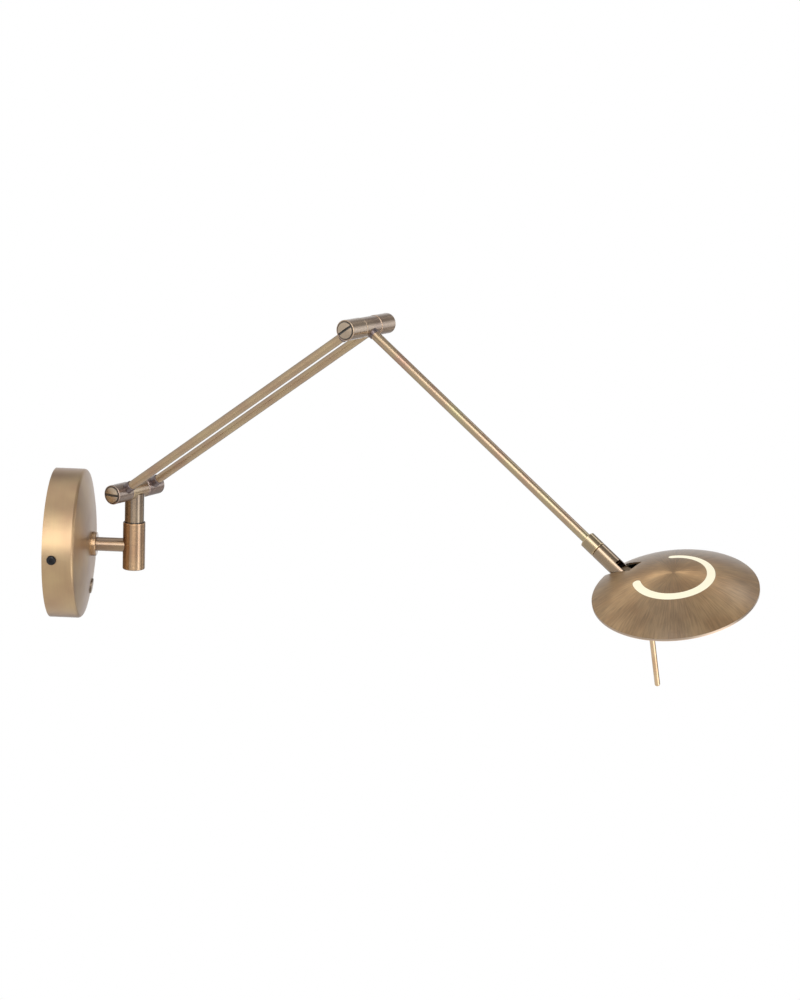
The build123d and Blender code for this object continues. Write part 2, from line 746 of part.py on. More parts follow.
# Head fork: grooved spigot, round body and a sawn slot for the tongue
fork_start = -seam_to_hinge + seam_gap
slot_run = fork_slot_reach + 2 * fork_nose
with BuildPart() as head_fork:
    with BuildSketch(along(hinge, fore_dir, fork_start)):
        Circle(collar_diameter / 2)
    extrude(amount=fork_nose - fork_start)
    fore_axis = Axis(hinge, fore_dir)
    chamfer(head_fork.faces().sort_by(fore_axis)[0].edges(), collar_edge)
    fillet(head_fork.faces().sort_by(fore_axis)[-1].edges(), fork_nose_edge)
    with BuildSketch(along(hinge, fore_dir, fork_start)):
        Circle(fork_spigot / 2)
    extrude(amount=-fork_spigot_length)
    with BuildSketch(along(elbow, fore_dir, groove_centre)):
        Circle(fork_spigot / 2)
        Circle(fork_groove_diameter / 2, mode=Mode.SUBTRACT)
    extrude(amount=fork_groove / 2, both=True, mode=Mode.SUBTRACT)
    with BuildSketch(along(hinge, fore_dir, fork_start - fork_spigot_length)):
        Circle(fork_wire_bore / 2)
    extrude(amount=fork_spigot_length - fork_start, mode=Mode.SUBTRACT)
    with BuildSketch(fork_side_plane):
        with Locations((slot_run / 2 - fork_slot_reach, 0)):
            Rectangle(slot_run, fork_slot)
    extrude(amount=collar_diameter, both=True, mode=Mode.SUBTRACT)
    with BuildSketch(fork_plane.offset(pin_blind_end - collar_diameter / 2)):
        Circle(hinge_pin_diameter / 2 + running_gap)
    extrude(amount=collar_diameter, mode=Mode.SUBTRACT)
save(head_fork.part, "head_fork")

with BuildPart() as hinge_pin:
    with BuildSketch(fork_plane.offset(pin_blind_end + face_gap - collar_diameter / 2)):
        Circle(hinge_pin_diameter / 2)
    extrude(amount=collar_diameter - pin_blind_end - hinge_pin_recess)
save(hinge_pin.part, "hinge_pin")


def dome_height(radius, reach):
    """Height above the rim plane of a sphere concentric with the dome, at a reach from its axis."""
    return dome_centre + sqrt(radius**2 - reach**2)


def cap_section(radius):
    """Half section of the solid cap under a sphere concentric with the dome."""
    rim_reach = sqrt(radius**2 - dome_centre**2)
    with BuildSketch(head_side_plane) as section:
        with BuildLine():
            Polyline((rim_reach, 0), (0, 0), (0, dome_height(radius, 0)))
            ThreePointArc(
                (rim_reach, 0),
                (rim_reach / 2, dome_height(radius, rim_reach / 2)),
                (0, dome_height(radius, 0)),
            )
        make_face()
    return section.sketch


# Saucer head: domed shell with studs inside, a C slit on top and a notch for the fork
slit_line = CenterArc((0, 0), slit_radius, slit_gap_angle / 2, slit_span)
outer_cap = cap_section(dome_radius)
inner_cap = cap_section(dome_inside)
with BuildPart() as head_shell:
    revolve(outer_cap, axis=head_axis)
    revolve(inner_cap, axis=head_axis, mode=Mode.SUBTRACT)
    with BuildSketch(head_plane.offset(spreader_top)):
        with PolarLocations(stud_radius, stud_count, start_angle=stud_turn):
            Circle(stud_diameter / 2)
    extrude(amount=head_crown)
    revolve(outer_cap, axis=head_axis, mode=Mode.INTERSECT)
    with BuildSketch(head_plane.offset(spreader_top)):
        with PolarLocations(stud_radius, stud_count, start_angle=stud_turn):
            Circle(small_screw / 2 + thread_gap)
    extrude(amount=small_screw_grip + free_gap, mode=Mode.SUBTRACT)
    with BuildSketch(head_plane):
        SlotArc(slit_line, slit_width)
        with Locations((notch_start + head_radius / 2, 0)):
            Rectangle(head_radius, notch_width)
    extrude(amount=2 * head_crown, mode=Mode.SUBTRACT)
save(head_shell.part, "head_shell")

# Light strip: opal C that fills the slit from below, with a foot on the spreader
strip_cap = cap_section(dome_radius - strip_recess)
with BuildPart() as light_strip:
    with BuildSketch(head_plane.offset(spreader_top)):
        SlotArc(slit_line, slit_width - 2 * strip_gap)
    extrude(amount=head_crown)
    revolve(strip_cap, axis=head_axis, mode=Mode.INTERSECT)
    with BuildSketch(head_plane.offset(spreader_top)):
        SlotArc(slit_line, slit_width + 2 * strip_foot)
    extrude(amount=strip_foot_height)
save(light_strip.part, "light_strip")

# Hinge bracket: flange on the spreader, web behind the notch, lined sides and the tongue
bracket_face = notch_start - bracket_gap
flange_start = bracket_face - bracket_flange_length
web_start = bracket_face - bracket_web
bracket_top = spreader_top + bracket_flange_thickness
diffuser_level = rim_lip_thickness - rim_height
diffuser_top = diffuser_level + diffuser_thickness
web_level = diffuser_top + diffuser_gap
liner_root = bracket_face - liner_thickness
liner_sphere = dome_inside - 2 * bracket_gap
liner_middle = (liner_root + liner_reach) / 2
screw_row = flange_start + bracket_screw_inset
with BuildPart() as hinge_bracket:
    with BuildSketch(head_plane.offset(spreader_top)):
        with Locations(((flange_start + bracket_face) / 2, 0)):
            Rectangle(bracket_flange_length, notch_width)
    extrude(amount=bracket_flange_thickness)
    with BuildSketch(head_plane.offset(web_level)):
        with Locations(((web_start + bracket_face) / 2, 0)):
            Rectangle(bracket_web, 2 * liner_half)
    extrude(amount=bracket_top - web_level)
    for side in (-1, 1):
        with BuildSketch(head_side_plane.offset(side * liner_face)):
            with BuildLine():
                Polyline(
                    (liner_root, dome_height(liner_sphere, liner_root)),
                    (liner_root, diffuser_level),
                    (liner_reach, diffuser_level),
                    (liner_reach, dome_height(liner_sphere, liner_reach)),
                )
                ThreePointArc(
                    (liner_reach, dome_height(liner_sphere, liner_reach)),
                    (liner_middle, dome_height(liner_sphere, liner_middle)),
                    (liner_root, dome_height(liner_sphere, liner_root)),
                )
            make_face()
        extrude(amount=side * liner_thickness)
    with BuildSketch(head_side_plane):
        with Locations(((liner_root + hinge_radius) / 2, hinge_height)):
            Rectangle(hinge_radius - liner_root, 2 * tongue_half_height)
        with Locations((hinge_radius, hinge_height)):
            Circle(tongue_eye)
    extrude(amount=tongue_thickness / 2, both=True)
    with BuildSketch(head_side_plane):
        with Locations((hinge_radius, hinge_height)):
            Circle(hinge_pin_diameter / 2 + running_gap)
    extrude(amount=tongue_thickness, both=True, mode=Mode.SUBTRACT)
    with BuildSketch(head_plane.offset(spreader_top)):
        with Locations((handle_radius, 0)):
            Circle(handle_thread / 2 + thread_gap)
        with Locations((screw_row, 0)):
            with GridLocations(0, 2 * bracket_screw_offset, 1, 2):
                Circle(small_screw / 2 + thread_gap)
    extrude(amount=bracket_flange_thickness, mode=Mode.SUBTRACT)
save(hinge_bracket.part, "hinge_bracket")

# Heat spreader: disc that joins the bracket, the board and the shell's studs
spreader_notch = web_start - bracket_gap
with BuildPart() as heat_spreader:
    with BuildSketch(head_plane.offset(spreader_level)):
        Circle(spreader_diameter / 2)
        SlotArc(slit_line, spreader_light_slot, mode=Mode.SUBTRACT)
        with Locations((spreader_notch + spreader_diameter / 2, 0)):
            Rectangle(spreader_diameter, 2 * (liner_half + bracket_gap), mode=Mode.SUBTRACT)
        with Locations((handle_radius, 0)):
            Circle(handle_diameter / 2 + free_gap, mode=Mode.SUBTRACT)
        with Locations((screw_row, 0)):
            with GridLocations(0, 2 * bracket_screw_offset, 1, 2):
                Circle(small_screw / 2 + side_hole_gap, mode=Mode.SUBTRACT)
        with PolarLocations(stud_radius, stud_count, start_angle=stud_turn):
            Circle(small_screw / 2 + side_hole_gap, mode=Mode.SUBTRACT)
    extrude(amount=spreader_thickness)
save(heat_spreader.part, "heat_spreader")

# LED board: a C of circuit board under the spreader, open round the hinge bracket
board_opening = 2 * (liner_half + board_notch_gap)
with BuildPart() as led_board:
    with BuildSketch(head_plane.offset(spreader_level - board_thickness)):
        Circle(board_outer / 2)
        Circle(board_inner / 2, mode=Mode.SUBTRACT)
        with Locations((board_outer / 2, 0)):
            Rectangle(board_outer, board_opening, mode=Mode.SUBTRACT)
    extrude(amount=board_thickness)
save(led_board.part, "led_board")

# LED packages: one row round the board, clear of its two ends
led_radius = (board_outer + board_inner) / 4
led_clear = board_opening / 2 + led_end_gap + led_side / sqrt(2)
led_start = degrees(asin(led_clear / led_radius))
with BuildPart() as leds:
    with BuildSketch(head_plane.offset(spreader_level - board_thickness)):
        with PolarLocations(led_radius, led_count, led_start, 360 - 2 * led_start, endpoint=True):
            Rectangle(led_side, led_side)
    extrude(amount=-led_height)
save(leds.part, "leds")


def head_screws(places):
    """Pan-head screws up through the spreader, their heads under it."""
    with BuildPart() as screws:
        with BuildSketch(head_plane.offset(spreader_level)):
            with places:
                Circle(small_screw_head / 2)
        extrude(amount=-small_screw_head_height)
        with BuildSketch(head_plane.offset(spreader_level)):
            with places:
                Circle(small_screw / 2)
        extrude(amount=spreader_thickness + small_screw_grip)
    return screws.part


stud_places = PolarLocations(stud_radius, stud_count, start_angle=stud_turn)
row_places = Locations((screw_row, bracket_screw_offset), (screw_row, -bracket_screw_offset))
save(head_screws(stud_places), "spreader_screws")
save(head_screws(row_places), "bracket_screws")

# Rim ring under the shell's edge, with a lip that holds the diffuser
rim_inner = head_radius - rim_width
with BuildPart() as rim_ring:
    with BuildSketch(head_side_plane):
        with BuildLine():
            Polyline(
                (head_radius, 0),
                (head_radius, -rim_height),
                (rim_inner - rim_lip, -rim_height),
                (rim_inner - rim_lip, diffuser_level),
                (rim_inner, diffuser_level),
                (rim_inner, 0),
                close=True,
            )
        make_face()
    revolve(axis=head_axis)
    fillet(rim_ring.edges().group_by(SortBy.LENGTH)[-1].sort_by(head_axis)[0], rim_edge)
    with BuildSketch(head_plane.offset(-rim_height)):
        with Locations((notch_start + head_radius / 2, 0)):
            Rectangle(head_radius, notch_width)
    extrude(amount=rim_height, mode=Mode.SUBTRACT)
save(rim_ring.part, "rim_ring")

# Diffuser: opal disc on the lip, notched round the hinge and drilled for the handle pin
diffuser_notch = liner_root - bracket_gap
with BuildPart() as diffuser:
    with BuildSketch(head_plane.offset(diffuser_level)):
        Circle(rim_inner - diffuser_gap)
        with Locations((diffuser_notch + head_radius / 2, 0)):
            Rectangle(head_radius, 2 * (liner_half + bracket_gap), mode=Mode.SUBTRACT)
        with Locations((handle_radius, 0)):
            Circle(handle_diameter / 2 + free_gap, mode=Mode.SUBTRACT)
    extrude(amount=diffuser_thickness)
save(diffuser.part, "diffuser")

# Handle pin: screwed into the bracket, with a rounded tip to steer the head by
with BuildPart() as handle_pin:
    with BuildSketch(head_plane.offset(spreader_top - face_gap)):
        with Locations((handle_radius, 0)):
            Circle(handle_diameter / 2)
    extrude(amount=-spreader_top - handle_length)
    fillet(handle_pin.faces().sort_by(head_axis)[0].edges(), handle_tip)
    with BuildSketch(head_plane.offset(spreader_top - face_gap)):
        with Locations((handle_radius, 0)):
            Circle(handle_thread / 2)
    extrude(amount=bracket_flange_thickness)
save(handle_pin.part, "handle_pin")
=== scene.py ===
"""Look of the wall reading lamp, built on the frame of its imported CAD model.

The frame is in metres: the wall is X = 0, +X points out of it and +Z is up. Sizes are written in
millimetres and multiplied by mm where Blender takes them.
"""

import json
from math import asin, atan2, cos, hypot, pi, radians, sin, sqrt, tan, tau

import bpy
from mathutils import Matrix, Quaternion, Vector


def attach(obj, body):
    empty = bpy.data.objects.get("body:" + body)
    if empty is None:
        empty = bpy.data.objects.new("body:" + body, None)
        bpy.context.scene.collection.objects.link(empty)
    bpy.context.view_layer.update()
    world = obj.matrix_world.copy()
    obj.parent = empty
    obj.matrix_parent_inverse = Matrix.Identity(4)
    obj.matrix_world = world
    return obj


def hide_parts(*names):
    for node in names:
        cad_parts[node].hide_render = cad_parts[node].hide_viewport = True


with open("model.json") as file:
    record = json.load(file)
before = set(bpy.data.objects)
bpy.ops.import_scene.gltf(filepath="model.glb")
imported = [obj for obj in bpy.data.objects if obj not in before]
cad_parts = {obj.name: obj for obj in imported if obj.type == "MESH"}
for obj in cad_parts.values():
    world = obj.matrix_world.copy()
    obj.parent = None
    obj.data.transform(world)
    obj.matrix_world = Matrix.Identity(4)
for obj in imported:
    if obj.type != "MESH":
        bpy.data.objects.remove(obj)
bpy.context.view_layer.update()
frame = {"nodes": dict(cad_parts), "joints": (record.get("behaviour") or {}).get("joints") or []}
mm = 0.001

# Wall bracket and hidden fasteners: the strap that is screwed to the wall, and the steel nut,
# washers and screws inside. Punched and folded sheet, zinc plated; the CAD shapes are kept.


def linear(code):
    """An sRGB hex colour as linear RGBA."""
    parts = [int(code[i : i + 2], 16) / 255 for i in (1, 3, 5)]
    return [c / 12.92 if c <= 0.04045 else ((c + 0.055) / 1.055) ** 2.4 for c in parts] + [1]


def add(owner, kind, inputs, **settings):
    """A shader node with its settings, and its inputs set to values or linked to sockets."""
    made = owner.node_tree.nodes.new("ShaderNode" + kind)
    for name, value in settings.items():
        setattr(made, name, value)
    for name, value in inputs.items():
        if isinstance(value, bpy.types.NodeSocket):
            owner.node_tree.links.new(value, made.inputs[name])
        else:
            made.inputs[name].default_value = value
    return made


def blank(name):
    """A new material with no nodes."""
    material = bpy.data.materials.new(name)
    material.use_nodes = True
    material.node_tree.nodes.clear()
    return material


def surface(material, inputs):
    """End a material in a principled shader with these inputs."""
    shader = add(material, "BsdfPrincipled", inputs)
    add(material, "OutputMaterial", {"Surface": shader.outputs["BSDF"]})


def clouded(name, light, dark, cloud, gloss, inputs):
    """Material whose colour and roughness drift in clouds of a size in millimetres."""
    material = blank(name)
    place = add(material, "TexCoord", {})
    noise = add(material, "TexNoise", {"Vector": place.outputs["Object"], "Scale": 1 / (cloud * mm)})
    drift = noise.outputs["Fac"]
    colour = add(material, "MixRGB", {"Fac": drift, "Color1": linear(dark), "Color2": linear(light)})
    rough = add(material, "MapRange", {"Value": drift, "To Min": gloss[0], "To Max": gloss[1]})
    drifting = {"Base Color": colour.outputs["Color"], "Roughness": rough.outputs["Result"]}
    surface(material, {**drifting, **inputs})
    return material


def coat(material, *nodes):
    """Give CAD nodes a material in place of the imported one."""
    for name in nodes:
        frame["nodes"][name].data.materials.clear()
        frame["nodes"][name].data.materials.append(material)


# Zinc plate on steel: a cool, pale grey metal with a soft and faintly clouded shine.
zinc = clouded("zinc_plate", "#B9BCBF", "#A3A7AD", 4, (0.3, 0.42), {"Metallic": 1})
coat(zinc, "wall_bracket", "stem_nut", "stem_washer", "post_screw", "post_spring_washer")
coat(zinc, "swivel_stop_screw", "hinge_pin", "spreader_screws", "bracket_screws")

# Electrical pieces behind the canopy: LED driver, terminal block, dimmer switch and earth screw.
# Moulded cases on the bracket's strap and tongue, and a turned screw in the strap.

# Polycarbonate, moulded: even in colour and half matt.
white_case = clouded("white_polycarbonate", "#EDEDEA", "#E2E2DE", 6, (0.45, 0.55), {})
coat(white_case, "led_driver", "terminal_block")
black_case = clouded("black_polycarbonate", "#2A2A2B", "#1E1E1F", 6, (0.4, 0.5), {})
coat(black_case, "switch_body")
# Bare brass, turned: yellow, smooth and bright.
earth_brass = clouded("earth_brass", "#C9A25F", "#B58C4B", 3, (0.25, 0.35), {"Metallic": 1})
coat(earth_brass, "earth_screw")

# Canopy: the round cover that the lamp hangs from, held by a black screw in each side.
# Brass sheet spun to a shallow cup with a flat land, brushed round its axis, browned and lacquered.
canopy_radius = 60
canopy_depth = 24.2
canopy_crown = 6.6
canopy_sheet = 1.2
canopy_edge = 3
land_radius = 10.5
tail_hole = 5.25
screw_level = 7.8
screw_drop = 1
screw_hole = 2.2
face_level = canopy_depth + canopy_crown
face_span = canopy_radius - land_radius
face_radius = (canopy_crown**2 + face_span**2) / (2 * canopy_crown)
face_centre = face_level - face_radius
edge_reach = canopy_radius - canopy_edge
edge_centre = face_centre + sqrt((face_radius - canopy_edge) ** 2 - (edge_reach - land_radius) ** 2)
face_slope = atan2(edge_reach - land_radius, edge_centre - face_centre)


def arc(along, reach, radius, start, end, steps):
    """Points of an outline on an arc about (along, reach), from one angle to another."""
    turns = [start + (end - start) * i / steps for i in range(steps + 1)]
    return [(along + radius * cos(t), reach + radius * sin(t)) for t in turns]


def cup(wall):
    """The canopy's outline from the wall to its middle, moved inwards by a wall."""
    rim = [(0, canopy_radius - wall)]
    bend = arc(edge_centre, edge_reach, canopy_edge - wall, pi / 2, face_slope, 8)
    face = arc(face_centre, land_radius, face_radius - wall, face_slope, 0, 24)
    return rim + bend + face[1:] + [(face_level - wall, tail_hole)]


def standing(centre, axis):
    """Matrix that stands a piece's own Z along a direction at a point."""
    return Matrix.Translation(centre) @ Vector(axis).to_track_quat("Z", "Y").to_matrix().to_4x4()


weld_reach = 0.002


def turned(name, outline, space, sides=96, ring=False):
    """A turned piece: a circle drawn along an outline of (along the axis, radius) points."""
    bpy.ops.object.select_all(action="DESELECT")
    bpy.ops.mesh.primitive_circle_add(vertices=sides, radius=outline[0][1] * mm)
    piece = bpy.context.object
    piece.name = name
    bpy.ops.object.mode_set(mode="EDIT")
    bpy.ops.mesh.select_all(action="SELECT")
    bpy.ops.transform.translate(value=(0, 0, outline[0][0] * mm))
    path = outline + outline[:1] if ring else outline
    for (here, radius), (there, wider) in zip(path, path[1:]):
        step = (0, 0, (there - here) * mm)
        bpy.ops.mesh.extrude_region_move(TRANSFORM_OT_translate={"value": step})
        share = wider / radius
        bpy.ops.transform.resize(value=(share, share, 1), center_override=(0, 0, there * mm))
    bpy.ops.mesh.select_all(action="SELECT")
    bpy.ops.mesh.remove_doubles(threshold=weld_reach * mm)
    bpy.ops.mesh.fill_holes(sides=0)
    bpy.ops.mesh.normals_make_consistent(inside=False)
    bpy.ops.object.mode_set(mode="OBJECT")
    piece.matrix_world = space
    bpy.ops.object.transform_apply(location=True, rotation=True, scale=True)
    return piece


def carve(piece, tool, operation="DIFFERENCE"):
    """Cut a piece with a tool, or join or trim it, and remove the tool."""
    cut = piece.modifiers.new("cut", "BOOLEAN")
    cut.object = tool
    cut.operation = operation
    bpy.context.view_layer.objects.active = piece
    bpy.ops.object.modifier_apply(modifier="cut")
    bpy.data.objects.remove(tool)


def drill(piece, radius, length, space):
    """Cut a round hole, centred on the origin of a space and along its Z."""
    bpy.ops.object.select_all(action="DESELECT")
    bpy.ops.mesh.primitive_cylinder_add(vertices=64, radius=radius * mm, depth=length * mm)
    tool = bpy.context.object
    tool.matrix_world = space
    carve(piece, tool)


def soften(piece, width):
    """Round the sharp edges of a piece to a width."""
    bevel = piece.modifiers.new("edges", "BEVEL")
    bevel.width = width * mm
    bevel.segments = 2
    bevel.limit_method = "ANGLE"
    bevel.angle_limit = radians(32)
    bevel.use_clamp_overlap = True
    bpy.context.view_layer.objects.active = piece
    bpy.ops.object.modifier_apply(modifier="edges")


def wrap(piece, space):
    """Unwrap a piece round its axis: U is a turn of it, and V is 100 mm along it or inwards."""
    back = space.inverted()
    places = [back @ v.co for v in piece.data.vertices]
    layer = piece.data.uv_layers.active or piece.data.uv_layers.new()
    layer.name = "brushing"
    for face in piece.data.polygons:
        middle = back @ face.center
        about = atan2(middle.y, middle.x)
        for corner in face.loop_indices:
            p = places[piece.data.loops[corner].vertex_index]
            turn = (atan2(p.y, p.x) - about + pi) % tau - pi + about
            layer.data[corner].uv = (turn / tau, (p.z - hypot(p.x, p.y)) / (100 * mm))


def fit(piece, material, body, slot, space, *nodes):
    """Finish a piece: shading, unwrapping, material, the body it rides on and what it stands for."""
    bpy.ops.object.select_all(action="DESELECT")
    piece.select_set(True)
    bpy.context.view_layer.objects.active = piece
    bpy.ops.object.shade_smooth_by_angle(angle=radians(30))
    weigh = piece.modifiers.new("normals", "WEIGHTED_NORMAL")
    weigh.keep_sharp = True
    bpy.ops.object.modifier_apply(modifier="normals")
    wrap(piece, space)
    piece.data.materials.clear()
    piece.data.materials.append(material)
    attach(piece, body)
    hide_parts(*nodes)


def piece_space(material, space):
    """Object coordinates in millimetres, in the space of one piece."""
    place = add(material, "TexCoord", {}).outputs["Object"]
    pose = {"Location": space.translation, "Rotation": space.to_euler(), "Scale": (mm, mm, mm)}
    turn = add(material, "Mapping", {"Vector": place, **pose}, vector_type="TEXTURE")
    return turn.outputs["Vector"]


def browned(material, brush, clouds, tones, finish, marks, across, shade=1):
    """Antique brass, brushed, browned and lacquered: a warm brown metal under a thin creamy gloss.

    Brushing draws each highlight out across the marks. The finish is the lowest and highest
    roughness, the stretch of the sheen, and the lacquer's roughness and index of refraction.
    """
    patch = add(material, "MapRange", {"Value": clouds, "From Min": 0.35, "From Max": 0.65})
    ends = {"Color1": linear(tones[0]), "Color2": linear(tones[1])}
    base = add(material, "MixRGB", {"Fac": patch.outputs["Result"], **ends})
    spread = {"Value": brush, "From Min": 0.3, "From Max": 0.7}
    streak = add(material, "MapRange", {**spread, "To Min": 1 - marks, "To Max": 1 + marks})
    tone = add(material, "Math", {0: streak.outputs["Result"], 1: shade}, operation="MULTIPLY")
    scaled = {0: base.outputs["Color"], "Scale": tone.outputs["Value"]}
    colour = add(material, "VectorMath", scaled, operation="SCALE")
    rough = add(material, "MapRange", {**spread, "To Min": finish[0], "To Max": finish[1]})
    mark_depth = 0.02
    bump = add(material, "Bump", {"Height": brush, "Distance": mark_depth * mm, "Strength": marks})
    tangent = add(material, "Tangent", {}, direction_type="UV_MAP", uv_map="brushing")
    surface(
        material,
        {
            "Base Color": colour.outputs["Vector"],
            "Roughness": rough.outputs["Result"],
            "Normal": bump.outputs["Normal"],
            "Tangent": tangent.outputs["Tangent"],
            "Metallic": 1,
            "Specular Tint": linear("#C4BEBE"),
            "Anisotropic": finish[2],
            "Anisotropic Rotation": across,
            "Coat Weight": 1,
            "Coat Roughness": finish[3],
            "Coat IOR": finish[4],
        },
    )


def brass(name, space, stretch, finish, tones=("#AC8862", "#BD9F74"), marks=0.06, lines=()):
    """Brass with brush marks stretched along a piece; stretch is marks per millimetre each way.

    A line is a band of painted highlight or painted shade: (X, Y, Z or the radius R, its level, half
    its width, tone).
    """
    material = blank(name)
    place = piece_space(material, space)
    axes = add(material, "SeparateXYZ", {"Vector": place})
    flat = add(material, "VectorMath", {0: place, 1: (1, 1, 0)}, operation="MULTIPLY")
    radius = add(material, "VectorMath", {0: flat.outputs["Vector"]}, operation="LENGTH")
    shade = 1
    for reading, level, width, tone in lines:
        value = radius.outputs["Value"] if reading == "R" else axes.outputs[reading]
        line = add(material, "Math", {0: value, 1: level, 2: width}, operation="COMPARE")
        toned = {"Value": line.outputs["Value"], "To Min": 1, "To Max": tone}
        change = add(material, "MapRange", toned)
        both = add(material, "Math", {0: change.outputs["Result"], 1: shade}, operation="MULTIPLY")
        shade = both.outputs["Value"]
    grain = add(material, "VectorMath", {0: place, 1: stretch}, operation="MULTIPLY")
    streaky = {"Vector": grain.outputs["Vector"], "Scale": 1, "Detail": 2}
    brush = add(material, "TexNoise", streaky).outputs["Fac"]
    cloud_size = 28
    cloudy = {"Vector": place, "Scale": 1 / cloud_size, "Detail": 2}
    clouds = add(material, "TexNoise", cloudy).outputs["Fac"]
    quarter_turn = 0.25
    browned(material, brush, clouds, tones, finish, marks, quarter_turn, shade)
    return material


# Real brush marks lie less than 0.1 mm apart. These lie about 1 mm apart, so that they show.
round_marks = (0.03, 0.03, 0.9)
satin = (0.38, 0.46, 0.6, 0.4, 1.85)
wall_space = standing((0, 0, 0), (1, 0, 0))
canopy_outline = cup(0) + cup(canopy_sheet)[::-1]
canopy = turned("canopy_cup", canopy_outline, wall_space, sides=192, ring=True)
screw_space = standing((screw_level * mm, 0, -screw_drop * mm), (0, 1, 0))
drill(canopy, screw_hole, 3 * canopy_radius, screw_space)
button_radius = 38.2
button_hole = 6.4
button_turn = radians(14)
button_slope = asin((button_radius - land_radius) / face_radius)
button_way = Vector((0, sin(button_turn), -cos(button_turn)))
button_level = face_level - face_radius * (1 - cos(button_slope))
button_place = (Vector((button_level, 0, 0)) + button_way * button_radius) * mm
button_out = Vector((cos(button_slope), 0, 0)) + button_way * sin(button_slope)
button_space = standing(button_place, button_out)
drill(canopy, button_hole, 6 * canopy_sheet, button_space)
canopy_tones = ("#AA8458", "#BB9B6A")
canopy_brass = brass("canopy_brass", wall_space, round_marks, satin, canopy_tones, marks=0.04)
fit(canopy, canopy_brass, "wall_mount", "antique_brass", wall_space, "canopy")

# Canopy screws: button heads with a hexagon socket, one in each side of the canopy.
# Turned and broached steel with a black oxide finish; the CAD shapes are kept.

# Black oxide on steel: nearly black, with a dull metallic gleam on the edges.
black_oxide = clouded("black_oxide", "#26262A", "#17171A", 2, (0.22, 0.34), {"Metallic": 0.6})
coat(black_oxide, "canopy_screws")

# Dimmer button: the round push button low on the canopy's face, which slides into the switch.
# Turned brass with a softened edge, finished like the canopy.
button_size = 6.1
button_proud = 1.2
button_skirt = 4.4
button_stem = 2.9
button_length = 7.5
button_edge = 0.5
button_outline = [
    (-button_skirt - button_length, button_stem),
    (-button_skirt, button_stem),
    (-button_skirt, button_size),
    (button_proud, button_size),
]
button = turned("button_cap", button_outline, button_space, sides=64)
soften(button, button_edge)
# Painted shade: the button's rim is darkened to stand for the shade in the gap round it.
button_gap_shade = ("R", button_size, 0.6, 0.35)
button_brass = brass("button_brass", button_space, round_marks, satin, lines=[button_gap_shade])
fit(button, button_brass, "dimmer_button", "antique_brass", button_space, "dimmer_button")

# Stem: the short level tube with a flange on the canopy's land and a threaded tail inside.
# Turned from brass bar; its end is coped to the swivel housing and held to it by a spigot.
post_reach = 64.5
stem_radius = 5.6
stem_bore = 2.5
flange_radius = 9.8
flange_thickness = 3.9
flange_edge = 1
tail_start = 23
tail_radius = 5
housing_radius = 9
flange_top = face_level + flange_thickness
stem_outline = [
    (tail_start, stem_bore),
    (tail_start, tail_radius),
    (face_level, tail_radius),
    (face_level, flange_radius),
    *arc(flange_top - flange_edge, flange_radius - flange_edge, flange_edge, pi / 2, 0, 5),
    (flange_top, stem_radius),
    (post_reach, stem_radius),
    (post_reach, stem_bore),
]
stem = turned("stem_tube", stem_outline, wall_space, ring=True)
post_space = standing((post_reach * mm, 0, 0), (0, 0, 1))
drill(stem, housing_radius, 4 * housing_radius, post_space)
polished = (0.26, 0.34, 0.9, 0.18, 1.75)
# Painted shade: the stem's brass is darker than the rest, to stand for the shade on its flanks.
shaded_stem_tones = ("#8A6A48", "#987B55")
# Painted highlight: the flange's band is made brighter than the stem.
flange_highlight = ("Z", face_level + flange_thickness / 2, flange_thickness / 2, 1.5)
stem_brass = brass("stem_brass", wall_space, round_marks, polished, shaded_stem_tones, lines=[flange_highlight])
fit(stem, stem_brass, "wall_mount", "antique_brass", wall_space, "stem")

# Swivel housing: the upright tube on the stem's end in which the post turns.
# Turned and bored brass, rounded below; its mouth flares to a groove round the post, painted dark as
# shade.
housing_half = 19.3
housing_edge = 1
housing_lip = 0.3
mouth_width = 0.8
mouth_depth = 1.2
post_bore = 7.82
housing_floor = 7
counterbore = 5.2
counterbore_depth = 4
screw_clear = 2.8
lip_drop = 0.7
line_margin = 0.05
housing_outline = [
    (-housing_half + counterbore_depth, screw_clear),
    (-housing_half + counterbore_depth, counterbore),
    (-housing_half, counterbore),
    *arc(housing_edge - housing_half, housing_radius - housing_edge, housing_edge, pi, pi / 2, 5),
    (housing_half - housing_lip, housing_radius),
    (housing_half, housing_radius - housing_lip),
    (housing_half, post_bore + mouth_width),
    (housing_half - mouth_depth, post_bore),
    (housing_floor - housing_half, post_bore),
    (housing_floor - housing_half, screw_clear),
]
housing = turned("housing_tube", housing_outline, post_space, ring=True)
housing_tones = ("#9C7754", "#AD8B64")
# Painted shade darkens the mouth and bore; a painted highlight brightens a band just under the lip.
mouth_shade = ("R", post_bore, mouth_width + line_margin, 0.2)
lip_highlight = ("Z", housing_half - lip_drop, 0.5, 1.4)
housing_brass = brass(
    "housing_brass", post_space, round_marks, polished, housing_tones, lines=[mouth_shade, lip_highlight]
)
fit(housing, housing_brass, "wall_mount", "antique_brass", post_space, "swivel_housing")

# Swivel post: turns in the housing and carries the shoulder's middle segment on a saddle.
# Turned brass bar on a nylon washer, coped at the top to the segment and held in it by a spigot.
joint = {j["name"]: j for j in frame["joints"]}
shoulder = Vector(joint["arm_pitch"]["pos_m"])
barrel_way = -Vector(joint["arm_pitch"]["axis"])
shoulder_space = standing(shoulder, barrel_way)
post_radius = 7.75
post_bottom = -11.3
post_top = 42.8
knuckle_radius = 7.45
saddle_bite = 0.02
post = turned("post_bar", [(post_bottom, post_radius), (post_top, post_radius)], post_space)
drill(post, knuckle_radius - saddle_bite, 4 * post_radius, shoulder_space)
post_tones = ("#7B6650", "#8E7A60")
